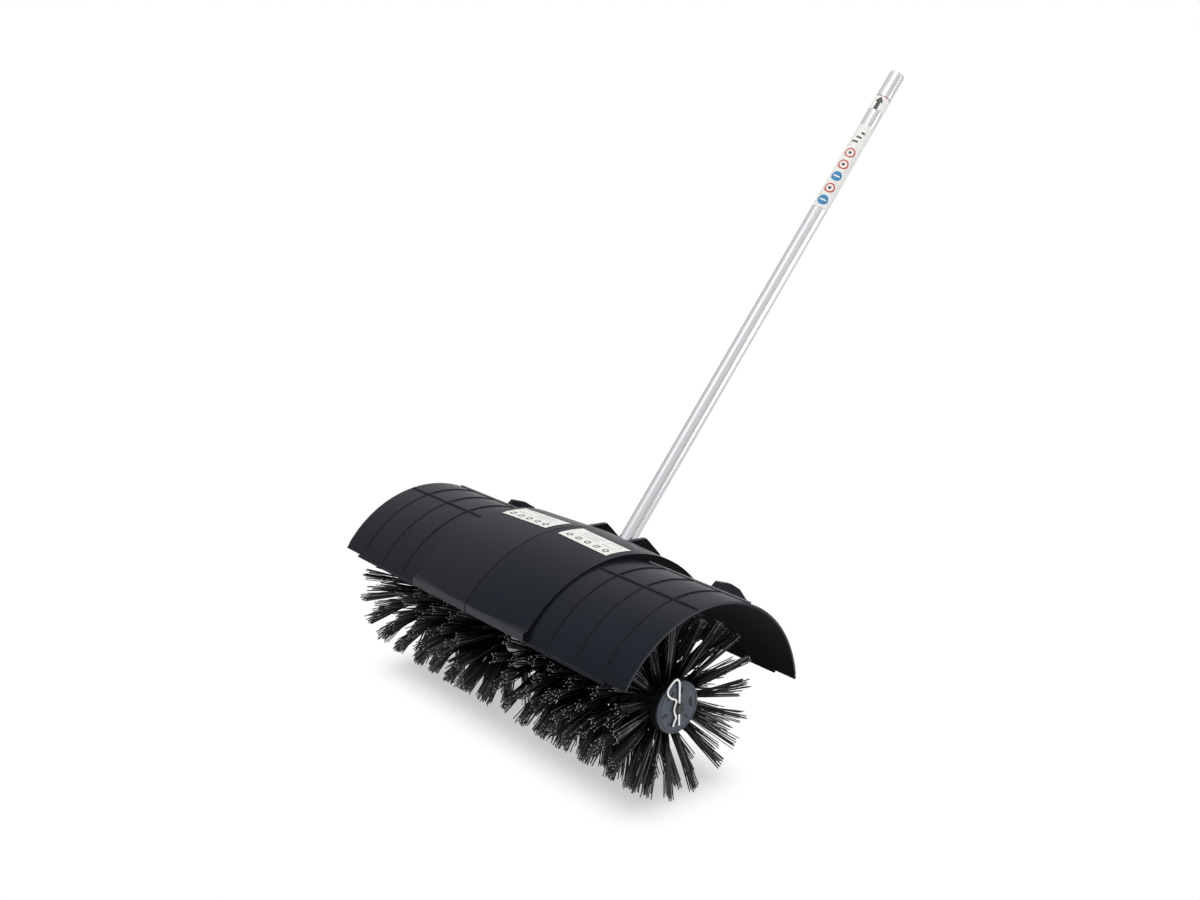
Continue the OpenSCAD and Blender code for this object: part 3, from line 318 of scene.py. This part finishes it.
def span_along_tube(node):
    """Lowest and highest place of a node along the tube."""
    reach = [(vertex.co - tube_foot).dot(tube_way) for vertex in frame["nodes"][node].data.vertices]
    return min(reach), max(reach)


arrow_top = span_along_tube("depth_label")[1] - 0.0005
arrow_across = -0.004
dress(surface("mark paint", mark_paint), "insertion_mark")
dress(surface("arrow band", arrow_band), "depth_label")


# Tube label: a white film sleeve with a column of plain coloured marks: two blue discs and three
# red rings, each with a bar or a dot in it, and short black bars towards the top.
def tube_label_film(w, place):
    up, across = tube_places(w, place)
    low, high = label_span
    step = (high - low) / 7
    blue = (0.02, 0.20, 0.42, 1)
    red = (0.50, 0.06, 0.035, 1)
    black = (0.015, 0.015, 0.016, 1)
    column = -0.003
    mark_out, ring_in, dot_out = 0.0088, 0.0062, 0.0026
    stripe_half = (0.0052, 0.0013)
    bar_half = (0.0052, 0.0017)
    bar_shift, bar_shorter = 0.003, 0.001

    def ink(ground):
        colour = ground
        for place_no, ink_colour in ((0.6, blue), (1.6, red), (2.6, blue), (3.6, red), (4.6, red)):
            middle = (column, low + step * place_no)
            edge = disc(w, across, up, middle, mark_out)
            if ink_colour == red:
                edge = w.math("MAXIMUM", edge, -1 * disc(w, across, up, middle, ring_in))
                dot = disc(w, across, up, middle, dot_out)
                colour = printed(w, inside(dot), black, colour)
            colour = printed(w, inside(edge), ink_colour, colour)
            if ink_colour == blue:
                stripe = bar(w, across, up, middle, stripe_half)
                colour = printed(w, inside(stripe), ground, colour)
        for bar_no in range(3):
            middle = (column + bar_shift * (bar_no - 1), low + step * (5.55 + 0.38 * bar_no))
            half = (bar_half[0] - bar_shorter * bar_no, bar_half[1])
            stroke = bar(w, across, up, middle, half)
            colour = printed(w, inside(stroke), black, colour)
        return colour

    return film_finish(w, place, ink)


label_span = span_along_tube("tube_label")
dress(surface("tube label film", tube_label_film), "tube_label")


# Guard: two injection-moulded halves of blue-black plastic that meet in a seam over the housing.
# The skin is satin outside and matt inside. Its edges are paler, partly from wear and partly as a
# painted highlight, and the front lip is painted paler as a painted reflection.
guard_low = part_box("guard_right")[0]
shaft_low, shaft_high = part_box("output_shaft")
shaft_middle = (shaft_low + shaft_high) / 2
wing_middle = shaft_middle + Vector((0, 0.0113, -0.021))
wing_r = 0.172
rib_turns = (math.radians(9), math.radians(142.2))
long_rib_turns = (math.radians(94.8), math.radians(96.3))
rail_turns = (math.radians(63.7), math.radians(64.8))
rib_soft = 0.003
rib_fade = (2.75, 1.7)
lip_depth = (0.0016, 0.0004)
end_across = (0.30, 0.31)
hood_across = (0.131, 0.133)
step_across = (0.2, 0.19)
seam_across = (0.0012, 0.0009)


def within(value, span, soft):
    """1 where a value lies in a span, with a soft edge outside it."""
    return value.rise(span[0] - soft, span[0]) * value.rise(span[1] + soft, span[1])


def guard_plastic(w, place):
    grain = w.add("TexNoise", {}, {"Vector": place, "Scale": 1500, "Detail": 2})
    flow = w.add("TexNoise", {}, {"Vector": place, "Scale": 9, "Detail": 3})
    dust = w.add("TexNoise", {}, {"Vector": place, "Scale": 260, "Detail": 6})
    rounded = w.add("Bevel", {"samples": 4}, {"Radius": 0.0017})
    flat = w.add("NewGeometry", {}, {}, "Normal")
    turn = w.add("VectorMath", {"operation": "DOT_PRODUCT"}, {0: rounded, 1: flat}, "Value")
    # Edges are paler where the bevel normal turns: partly edge wear, partly a painted highlight
    # along them.
    edge = (1 - turn).rise(0.02, 0.25) * dust.rise(0.3, 0.6)
    depth = along(w, place, Vector((0, 1, 0)), guard_low)
    across = abs(along(w, place, Vector((1, 0, 0)), shaft_middle))
    sideways = w.add("VectorMath", {"operation": "DOT_PRODUCT"}, {0: flat, 1: (1, 0, 0)}, "Value")
    side_face = abs(sideways).rise(0.6, 0.9)
    # The front lip face is painted paler as a painted reflection of the bright room in front,
    # mottled by the dust noise.
    lip_reflection = depth.rise(*lip_depth)
    # The end faces of the wings are painted paler as a painted highlight.
    end_face_highlight = side_face * across.rise(*end_across)
    skin = flow.rise(0.3, 0.7).between((0.0050, 0.0060, 0.0115, 1), (0.0070, 0.0082, 0.0145, 1))
    wing_y = along(w, place, Vector((0, 1, 0)), wing_middle)
    wing_z = along(w, place, Vector((0, 0, 1)), wing_middle)
    turn_round = w.math("ARCTAN2", wing_z, wing_y)
    proud = w.math("SQRT", wing_y * wing_y + wing_z * wing_z) - wing_r
    beside_hood = across.rise(*hood_across)
    # A strip along the top of each wing's rail is painted pale grey as a painted highlight, mottled
    # by the dust noise.
    rail_highlight = within(turn_round, rail_turns, 0.001) * proud.rise(0.0006, 0.0009) * beside_hood
    # Paler colour from dust, edge wear and the painted highlights and reflection above.
    wear_and_painted_light = 0.6 * edge + 0.03 * dust.rise(0.55, 0.8) + lip_reflection * (0.36 + 0.25 * dust) + 0.55 * end_face_highlight
    scuffed_and_painted_light = wear_and_painted_light.between(skin, (0.075, 0.080, 0.093, 1))
    bump = w.add("Bump", {}, {
        "Strength": 0.06, "Distance": 0.0001, "Height": grain, "Normal": rounded})
    outside = w.add("BsdfPrincipled", {}, {
        "Base Color": (rail_highlight * (0.5 + 0.5 * dust)).between(scuffed_and_painted_light, (0.44, 0.445, 0.46, 1)),
        "Roughness": 0.28 + 0.08 * flow + 0.05 * grain, "Normal": bump,
        "Specular IOR Level": 0.13, "Specular Tint": (0.76, 0.85, 1.0, 1)})
    # Matt, dark inside skin; the mix below also lays it on the step walls and ribs as painted
    # shade.
    inside_skin_and_shade = w.add("BsdfPrincipled", {}, {
        "Base Color": flow.between((0.0083, 0.0083, 0.0104, 1), (0.0110, 0.0110, 0.0133, 1)),
        "Roughness": 0.62 + 0.1 * grain, "Normal": bump, "Specular IOR Level": 0.03})
    off = w.add("VectorMath", {"operation": "SUBTRACT"}, {0: place, 1: shaft_middle})
    outwards = w.add("VectorMath", {"operation": "MULTIPLY"}, {0: off, 1: (0, 1, 1)})
    outwards = w.add("VectorMath", {"operation": "NORMALIZE"}, {0: outwards})
    facing = w.add("VectorMath", {"operation": "DOT_PRODUCT"}, {0: flat, 1: outwards}, "Value")
    inwards = facing.rise(-0.1, -0.3)
    # The step walls beside the hood get the dark matt inside skin as painted shade.
    step_wall_shade = side_face * across.rise(*step_across)
    seam = across.rise(*seam_across)
    raised = proud.rise(0.0002, 0.0004) * proud.rise(0.004, 0.003)
    # The ribs on the wings get the dark matt inside skin too, as painted shade, fading towards the
    # front and weaker on the long rib.
    rib_shade = raised * within(turn_round, rib_turns, rib_soft)
    rib_shade = rib_shade * beside_hood * (1 - rail_highlight) * turn_round.rise(*rib_fade)
    rib_shade = rib_shade * (1 - 0.35 * within(turn_round, long_rib_turns, rib_soft))
    # Inward faces are the real matt inside and the seam is a dark joint; the step walls and ribs in
    # this mix are painted shade.
    matt = w.math("MAXIMUM", w.math("MAXIMUM", inwards, step_wall_shade), w.math("MAXIMUM", seam, rib_shade))
    return w.add("MixShader", {}, {0: matt, 1: outside, 2: inside_skin_and_shade})


dress(surface("guard plastic", guard_plastic), "guard_left", "guard_right")


# Hood labels: one white film on each half of the hood, with a row of small dark marks along the
# front edge and pale grey rules behind them.
def hood_label_film(w, place):
    x = abs(w.add("SeparateXYZ", {}, {0: place}, 0)) - hood_label_low.x
    y = w.add("SeparateXYZ", {}, {0: place}, 1) - hood_label_low.y
    width = hood_label_high.x - hood_label_low.x
    depth = hood_label_high.y - hood_label_low.y
    black = (0.03, 0.03, 0.034, 1)
    grey = (0.42, 0.42, 0.43, 1)
    round_out, square_half, hole_out = 0.0052, 0.0046, 0.0026
    rule_half = 0.0008
    box_middle = (width * 0.78, depth * 0.68)

    def ink(ground):
        colour = ground
        for mark in range(5):
            middle = (width * (0.13 + 0.185 * mark), depth * 0.24)
            outer = disc(w, x, y, middle, round_out)
            if mark % 2:
                outer = bar(w, x, y, middle, (square_half, square_half))
            hole = disc(w, x, y, middle, hole_out)
            colour = printed(w, inside(w.math("MAXIMUM", outer, -1 * hole)), black, colour)
        for rule in range(4):
            middle = (width * (0.36 + 0.03 * (rule % 2)), depth * (0.52 + 0.105 * rule))
            stroke = bar(w, x, y, middle, (width * (0.22 - 0.05 * (rule % 2)), rule_half))
            colour = printed(w, inside(stroke), grey, colour)
        box_out = bar(w, x, y, box_middle, (width * 0.12, depth * 0.19))
        box_in = bar(w, x, y, box_middle, (width * 0.105, depth * 0.155))
        outline = w.math("MAXIMUM", box_out, -1 * box_in)
        return printed(w, inside(outline), grey, colour)

    return film_finish(w, place, ink)


hood_label_low, hood_label_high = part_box("guard_label_right")
dress(surface("hood label film", hood_label_film), "guard_label_left", "guard_label_right")


# Stays: steel plates, stamped and powder-coated black, that tie the hood to the lugs of the
# gear housing. The coat has a slight orange-peel texture.
def powder_coat(w, place):
    peel = w.add("TexNoise", {}, {"Vector": place, "Scale": 650, "Detail": 2})
    haze = w.add("TexNoise", {}, {"Vector": place, "Scale": 40, "Detail": 4})
    bump = w.add("Bump", {}, {"Strength": 0.3, "Distance": 0.0002, "Height": peel})
    return w.add("BsdfPrincipled", {}, {
        "Base Color": haze.rise(0.3, 0.7).between(
            (0.022, 0.023, 0.026, 1), (0.04, 0.041, 0.045, 1)),
        "Roughness": 0.38 + 0.15 * haze, "Normal": bump})


dress(surface("powder coat", powder_coat), "guard_stay_left", "guard_stay_right")


# Brush cores: moulded tubes of dark plastic that slide onto the hexagon of the output shaft.
# The end discs close them and are moulded in the same blue-grey plastic.
def core_plastic(w, place):
    grain = w.add("TexNoise", {}, {"Vector": place, "Scale": 1300, "Detail": 2})
    flow = w.add("TexNoise", {}, {"Vector": place, "Scale": 70, "Detail": 4})
    dust = w.add("TexNoise", {}, {"Vector": place, "Scale": 420, "Detail": 6})
    rounded = w.add("Bevel", {"samples": 4}, {"Radius": 0.0006})
    bump = w.add("Bump", {}, {
        "Strength": 0.15, "Distance": 0.0001, "Height": grain, "Normal": rounded})
    skin = flow.rise(0.3, 0.7).between((0.042, 0.057, 0.076, 1), (0.060, 0.079, 0.104, 1))
    return w.add("BsdfPrincipled", {}, {
        "Base Color": (0.35 * dust.rise(0.55, 0.8)).between(skin, (0.11, 0.12, 0.13, 1)),
        "Roughness": 0.42 + 0.14 * flow, "Normal": bump})


moulded_core = surface("core plastic", core_plastic)
dress(moulded_core, "brush_core_left", "brush_core_right", "end_disc_left", "end_disc_right")


# Disc marks: raised arrow heads and short bars in a ring round each end disc, moulded with it.
# They stand nearly a millimetre proud of the outer face, and are coloured far darker than the disc
# as painted shade.
disc_low, disc_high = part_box("end_disc_right")
brush_axis = (disc_low + disc_high) / 2
mark_sink = 0.0004
mark_rise = 0.0009


def new_piece(name, verts, faces):
    mesh = bpy.data.meshes.new(name)
    mesh.from_pydata(verts, [], faces)
    piece = bpy.data.objects.new(name, mesh)
    bpy.context.collection.objects.link(piece)
    return piece


def extruded(name, outlines, face_x, side):
    """Flat outlines in the plane across the brush axis, raised from face_x away from the middle."""
    verts = []
    faces = []
    for outline in outlines:
        first = len(verts)
        count = len(outline)
        for x in (face_x - mark_sink, face_x + mark_rise):
            verts += [(side * x, brush_axis.y + y, brush_axis.z + z) for y, z in outline]
        rim = [(i, (i + 1) % count) for i in range(count)]
        loops = [(a, b, b + count, a + count) for a, b in rim]
        loops += [tuple(reversed(range(count))), tuple(range(count, 2 * count))]
        if side < 0:
            loops = [tuple(reversed(loop)) for loop in loops]
        faces += [tuple(first + i for i in loop) for loop in loops]
    return new_piece(name, verts, faces)


def turned_outline(points, turn):
    """Points drawn with their radius along the first axis, turned about the brush axis."""
    cos, sin = math.cos(turn), math.sin(turn)
    return [(r * cos - t * sin, r * sin + t * cos) for r, t in points]


# Painted shade: the marks are far darker than the disc plastic they are moulded in, with a mottle.
def shaded_mark_plastic(w, place):
    shade_mottle = w.add("TexNoise", {}, {"Vector": place, "Scale": 500, "Detail": 4})
    bump = w.add("Bump", {}, {"Strength": 0.15, "Distance": 0.0001, "Height": shade_mottle})
    return w.add("BsdfPrincipled", {}, {
        "Base Color": shade_mottle.rise(0.4, 0.7).between(
            (0.010, 0.012, 0.015, 1), (0.022, 0.026, 0.032, 1)),
        "Roughness": 0.5 + 0.15 * shade_mottle, "Normal": bump})


arrow_head = [(0.0196, -0.0030), (0.0264, -0.0030), (0.023, 0.0044)]
arrow_tail = [(0.0219, -0.0096), (0.0241, -0.0096), (0.0241, -0.0034), (0.0219, -0.0034)]
short_bar = [(0.0192, -0.0012), (0.0276, -0.0012), (0.0276, 0.0012), (0.0192, 0.0012)]
mark_turns = [math.radians(angle) for angle in (10, 130, 250)]
bar_turn = math.radians(62)
shaded_mark_finish = surface("mark plastic", shaded_mark_plastic)
for side_name, side in (("left", -1), ("right", 1)):
    outlines = []
    for turn in mark_turns:
        outlines.append(turned_outline(arrow_head, turn))
        outlines.append(turned_outline(arrow_tail, turn))
        outlines.append(turned_outline(short_bar, turn + bar_turn))
    marks = extruded(f"disc_marks_{side_name}", outlines, disc_high.x, side)
    marks.data.materials.append(shaded_mark_finish)
    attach(marks, "brush")


# Bristle sleeves: plastic sleeves pushed over the cores, with a low collar round the root of
# every tuft. The tufts are set in rows, each row turned half a step from the last.
core_low, core_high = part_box("brush_core_right")
core_r = (core_high.z - core_low.z) / 2
sleeve_in = core_r + 0.0003
sleeve_out = sleeve_in + 0.0036
sleeve_round = 0.0006
sleeve_sides = 72
collar_sides = 10
sleeve_x0 = core_low.x + 0.002
sleeve_x1 = disc_low.x - 0.001
tuft_rows = 12
tufts_round = 18


def round_axis(x, r, turn, off=0.0):
    """A point at a radius and an angle about the brush axis, moved off sideways."""
    cos, sin = math.cos(turn), math.sin(turn)
    return Vector((x, brush_axis.y + r * cos - off * sin, brush_axis.z + r * sin + off * cos))


def tuft_turn(row, column):
    cell = 2 * math.pi / tufts_round
    return -math.pi / 2 + cell * (column + row / 2)


def tuft_root_x(row):
    return sleeve_x0 + (sleeve_x1 - sleeve_x0) * (row + 0.5) / tuft_rows


def ringed(verts, faces, rings, closed):
    """Joins rings of as many points each by quads, and closes the loop or caps its ends."""
    first = len(verts)
    count = len(rings[0])
    for ring in rings:
        verts += ring
    last = len(rings) if closed else len(rings) - 1
    for i in range(last):
        a = first + i * count
        b = first + (i + 1) % len(rings) * count
        faces += [(a + k, a + (k + 1) % count, b + (k + 1) % count, b + k) for k in range(count)]
    if not closed:
        end = first + (len(rings) - 1) * count
        faces.append(tuple(reversed(range(first, first + count))))
        faces.append(tuple(range(end, end + count)))


def on_side(side, verts, faces):
    """A mesh of the right half as it is, or mirrored for the left one."""
    if side > 0:
        return verts, faces
    return [Vector((-v.x, v.y, v.z)) for v in verts], [tuple(reversed(face)) for face in faces]


def sleeve_piece(name, side):
    edge_r = sleeve_out - sleeve_round
    profile = [(sleeve_x0, sleeve_in), (sleeve_x0, edge_r), (sleeve_x0 + sleeve_round, sleeve_out),
               (sleeve_x1 - sleeve_round, sleeve_out), (sleeve_x1, edge_r), (sleeve_x1, sleeve_in)]
    verts = []
    faces = []
    turns = [2 * math.pi * k / sleeve_sides for k in range(sleeve_sides)]
    ringed(verts, faces, [[round_axis(x, r, turn) for turn in turns] for x, r in profile], True)
    collar = [(0.0046, -0.0003), (0.0043, 0.0009), (0.0032, 0.0013)]
    spins = [2 * math.pi * k / collar_sides for k in range(collar_sides)]
    for row in range(tuft_rows):
        for column in range(tufts_round):
            turn = tuft_turn(row, column)
            rings = [[round_axis(tuft_root_x(row) + r * math.sin(spin), sleeve_out + rise, turn,
                                 r * math.cos(spin)) for spin in spins] for r, rise in collar]
            ringed(verts, faces, rings, False)
    return new_piece(name, *on_side(side, verts, faces))


def sleeve_plastic(w, place):
    grit = w.add("TexNoise", {}, {"Vector": place, "Scale": 300, "Detail": 5})
    bump = w.add("Bump", {}, {"Strength": 0.2, "Distance": 0.0001, "Height": grit})
    return w.add("BsdfPrincipled", {}, {
        "Base Color": grit.rise(0.45, 0.8).between(
            (0.0040, 0.0040, 0.0044, 1), (0.011, 0.011, 0.012, 1)),
        "Roughness": 0.55 + 0.2 * grit, "Normal": bump, "Specular IOR Level": 0.2})


sleeve_finish = surface("sleeve plastic", sleeve_plastic)
for side_name, side in (("left", -1), ("right", 1)):
    sleeve = sleeve_piece(f"bristle_sleeve_{side_name}", side)
    sleeve.data.materials.append(sleeve_finish)
    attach(sleeve, "brush")


# Bristles: stiff black polypropylene filaments, about two millimetres thick, in tufts that fan out
# from the sleeve. They are cut to one length by shears, so their ends are pale and a little uneven.
brush_r = 0.125
filament_r = 0.00092
filament_taper = 0.12
filament_sides = 4
filament_shares = (0.0, 0.45, 1.0)
filament_bow = 0.0006
filaments_per_tuft = 13
tuft_root_r = 0.0030
tuft_fan = 0.0092
tuft_twist = 0.012
tuft_lean_along = 0.0045
tuft_lean_round = 0.0042
tuft_tip_x0 = sleeve_x0 + 0.008
tuft_tip_x1 = 0.2958
tip_x_low = sleeve_x0 + 0.0012
tip_x_high = tuft_tip_x1 + 0.003
tip_limit = brush_r - 0.0012
uneven_cut = 0.0052
# Share of the pale, painted-highlight filaments kept in the innermost row.
inner_row_highlight = 0.86
floor_limit = 0.0008
pin_low, pin_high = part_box("hitch_pin_right")
pin_joint = next(joint for joint in frame["joints"] if joint["name"] == "pin_right_pull")
pin_top_r = pin_high.z + pin_joint["range_m"][1] - brush_axis.z
pin_share = (pin_top_r - sleeve_out) / (tip_limit - sleeve_out)
pin_gap = 0.003


def clear_of_pin(root, tip):
    """The tip, moved inwards where its filament would stand in the way of a pulled pin."""
    passes = root.lerp(tip, pin_share)
    if passes.z > pin_high.z and pin_low.y - 2 * pin_gap < passes.y < pin_high.y + 2 * pin_gap:
        tip.x = min(tip.x, root.x + (pin_low.x - pin_gap - root.x) / pin_share)
    return tip


def filament(draw, root, tip, bow):
    """Rings of points from root to tip, bowed a little and thinner at the tip."""
    way = (tip - root).normalized()
    across = way.cross(Vector((1, 0, 0))).normalized()
    other = way.cross(across)
    spin = draw.uniform(0, math.pi / 2)
    rings = []
    for share in filament_shares:
        middle = root.lerp(tip, share) + bow * (4 * share * (1 - share))
        radius = filament_r * (1 - filament_taper * share)
        corners = [spin + 2 * math.pi / filament_sides * k for k in range(filament_sides)]
        rings.append([middle + radius * (math.cos(a) * across + math.sin(a) * other)
                      for a in corners])
    return rings


def tuft_filaments(draw, row, column):
    """Root, tip and bow of each filament of one tuft."""
    turn = tuft_turn(row, column) + draw.gauss(0, tuft_twist)
    root_x = tuft_root_x(row)
    tip_x = tuft_tip_x0 + (tuft_tip_x1 - tuft_tip_x0) * row / (tuft_rows - 1)
    lean_x = draw.gauss(0, tuft_lean_along)
    lean_off = draw.gauss(0, tuft_lean_round)
    phase = draw.uniform(0, 2 * math.pi)
    for number in range(filaments_per_tuft):
        share = math.sqrt((number + 0.5) / filaments_per_tuft)
        spin = phase + number * math.pi * (3 - math.sqrt(5))
        root = round_axis(root_x + tuft_root_r * share * math.sin(spin), sleeve_out, turn,
                          tuft_root_r * share * math.cos(spin))
        fan = tuft_fan * share * draw.uniform(0.75, 1.15)
        spin += draw.gauss(0, 0.3)
        off = lean_off + fan * math.cos(spin)
        x = tip_x + lean_x + fan * math.sin(spin)
        x = min(max(x, tip_x_low), tip_x_high)
        reach = math.sqrt(tip_limit ** 2 - off ** 2) - abs(draw.gauss(0, uneven_cut))
        tip = clear_of_pin(root, round_axis(x, reach, turn, off))
        tip.z = max(tip.z, floor_limit)
        bow = Vector([draw.gauss(0, filament_bow) for _ in range(3)])
        yield root, tip, bow


def bristle_piece(name, side, seed):
    draw = random.Random(seed)
    verts = []
    faces = []
    looks = []
    for row in range(tuft_rows):
        # Painted highlight: the inner rows get fewer pale filaments than the outer rows, which face
        # the light.
        wear_and_painted_highlight = inner_row_highlight + (1 - inner_row_highlight) * (row / (tuft_rows - 1)) ** 2
        for column in range(tufts_round):
            for root, tip, bow in tuft_filaments(draw, row, column):
                ringed(verts, faces, filament(draw, root, tip, bow), False)
                tone_and_highlight, gloss = wear_and_painted_highlight * draw.random(), draw.random()
                for share in filament_shares:
                    looks += [tone_and_highlight, share, gloss, 1.0] * filament_sides
    piece = new_piece(name, *on_side(side, verts, faces))
    attribute = piece.data.color_attributes.new("filament", "FLOAT_COLOR", "POINT")
    attribute.data.foreach_set("color", looks)
    smooth = [True] * filament_sides * (len(filament_shares) - 1) + [False] * 2
    piece.data.polygons.foreach_set("use_smooth", smooth * (len(faces) // len(smooth)))
    return piece


def bristle_plastic(w, place):
    look = w.add("Attribute", {"attribute_name": "filament"}, {}, "Color")
    tone_and_highlight = w.add("SeparateColor", {}, {0: look}, 0)
    share = w.add("SeparateColor", {}, {0: look}, 1)
    gloss = w.add("SeparateColor", {}, {0: look}, 2)
    streak = w.add("TexNoise", {}, {"Vector": place, "Scale": 240, "Detail": 4})
    # Pale grey along some filaments is painted highlight, standing in for lit strands; the small
    # grey from the lower tone and the streak noise is the plastic's own variation.
    grey = 0.02 * tone_and_highlight.rise(0.4, 0.8) + 0.3 * tone_and_highlight.rise(0.8, 0.95) + 0.015 * streak.rise(0.5, 0.8)
    grey = grey + 0.9 * share.rise(0.988, 1.0)
    bump = w.add("Bump", {}, {"Strength": 0.2, "Distance": 0.0001, "Height": streak})
    return w.add("BsdfPrincipled", {}, {
        "Base Color": grey.between((0.0026, 0.0026, 0.0030, 1), (0.44, 0.45, 0.46, 1)),
        "Roughness": 0.30 + 0.16 * streak, "Normal": bump, "Specular IOR Level": 0.15,
        "Coat Weight": gloss.rise(0.55, 0.75), "Coat Roughness": 0.14})


bristle_finish = surface("bristle plastic", bristle_plastic)
for side_name, side, seed in (("left", -1, 11), ("right", 1, 23)):
    bristles = bristle_piece(f"filaments_{side_name}", side, seed)
    bristles.data.materials.append(bristle_finish)
    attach(bristles, "brush")
    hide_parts(f"bristles_{side_name}")


# Hitch pins: spring steel wire bent into a straight leg and a waved leg, bright zinc plated.
# One goes through the nose of the output shaft at each end and holds the brush half on.
def bright_wire(w, place):
    grain = w.add("TexNoise", {}, {"Vector": place, "Scale": 900, "Detail": 3})
    smear = w.add("TexNoise", {}, {"Vector": place, "Scale": 150, "Detail": 4})
    bump = w.add("Bump", {}, {"Strength": 0.08, "Distance": 0.0001, "Height": grain})
    return w.add("BsdfPrincipled", {}, {
        "Base Color": smear.rise(0.3, 0.75).between((0.93, 0.93, 0.92, 1), (0.80, 0.80, 0.79, 1)),
        "Metallic": 1.0, "Roughness": 0.4 + 0.12 * smear, "Normal": bump})


dress(surface("bright wire", bright_wire), "hitch_pin_left", "hitch_pin_right")


# Studio: a pale floor under a white backdrop, with soft lamps above, to the right and in front.
# The camera stands in front of the brush, to its right, and looks down on it.
def white_ray(w):
    """1 for rays that come from the camera or from a shiny or clear surface."""
    seen = w.add("LightPath", {}, {}, "Is Camera Ray")
    shiny = w.add("LightPath", {}, {}, "Is Glossy Ray")
    clear = w.add("LightPath", {}, {}, "Is Transmission Ray")
    return w.math("MINIMUM", seen + shiny + clear, 1.0)


def pale_floor(w, place):
    matt = w.add("BsdfDiffuse", {}, {"Color": (0.86, 0.86, 0.86, 1)})
    white = w.add("Emission", {}, {"Color": (1, 1, 1, 1), "Strength": 1.0})
    beside = abs(along(w, place, Vector((1, 0, 0)), shade_middle)) - shade_half[0]
    before = abs(along(w, place, Vector((0, 1, 0)), shade_middle)) - shade_half[1]
    beside = w.math("MAXIMUM", beside, 0.0)
    before = w.math("MAXIMUM", before, 0.0)
    away = w.math("SQRT", beside * beside + before * before)
    # The glow is lowered in a strip under the brush so the matt floor shows darker there: the matt
    # part carries the real shade, and the strip's shape is a painted shadow.
    unshaded = w.add("MapRange", {"interpolation_type": "SMOOTHSTEP"},
                     {0: away, 1: 0.0, 2: shade_reach})
    glow = floor_glow + (1 - floor_glow) * unshaded
    return w.add("MixShader", {}, {0: white_ray(w) * glow, 1: matt, 2: white})


floor_glow = 0.5
shade_middle = Vector((0, brush_axis.y, 0))
shade_half = (0.26, 0.045)
shade_reach = 0.085
floor_half = 40.0
floor = new_piece("floor", [(-floor_half, -floor_half, 0), (floor_half, -floor_half, 0),
                            (floor_half, floor_half, 0), (-floor_half, floor_half, 0)],
                  [(0, 1, 2, 3)])
floor.data.materials.append(surface("pale floor", pale_floor))

room = bpy.data.worlds.new("room")
room.use_nodes = True
room.node_tree.nodes.clear()
sky = Wire(room.node_tree)
room_light = 0.5
horizon_dim = 0.4
height = sky.add("SeparateXYZ", {}, {0: sky.add("TexCoord", {}, {}, "Generated")}, 2)
mirrored = sky.add("LightPath", {}, {}, "Is Glossy Ray")
seen_light = 1 - mirrored * horizon_dim * height.rise(0.55, 0.15)
backdrop = sky.add("Background", {}, {
    "Color": (1, 1, 1, 1), "Strength": room_light + (seen_light - room_light) * white_ray(sky)})
sky.add("OutputWorld", {}, {"Surface": backdrop})
bpy.context.scene.world = room


def soft_lamp(name, place, aim, size, power):
    lamp = bpy.data.objects.new(name, bpy.data.lights.new(name, "AREA"))
    lamp.data.shape = "SQUARE"
    lamp.data.size = size
    lamp.data.energy = power
    lamp.location = place
    lamp.rotation_euler = (Vector(aim) - Vector(place)).to_track_quat("-Z", "Y").to_euler()
    bpy.context.collection.objects.link(lamp)


lamp_aim = (0, -0.2, 0.2)
soft_lamp("lamp_over", (0.2, 0.5, 2.8), lamp_aim, 1.1, 40)
soft_lamp("lamp_right", (2.5, 1.5, 0.75), lamp_aim, 1.2, 20)
soft_lamp("lamp_front", (-0.55, -1.3, 2.75), lamp_aim, 1.5, 6)

camera = bpy.data.objects.new("camera", bpy.data.cameras.new("camera"))
camera.data.sensor_width = 36
camera.data.lens = 40.32
camera_dip = math.radians(16.313)
camera_turn = math.radians(49.533)
camera.location = (1.41309, -1.406584, 0.93069)
camera.rotation_euler = (math.pi / 2 - camera_dip, 0, camera_turn)
bpy.context.collection.objects.link(camera)
bpy.context.scene.camera = camera
bpy.context.scene.view_settings.view_transform = "Standard"
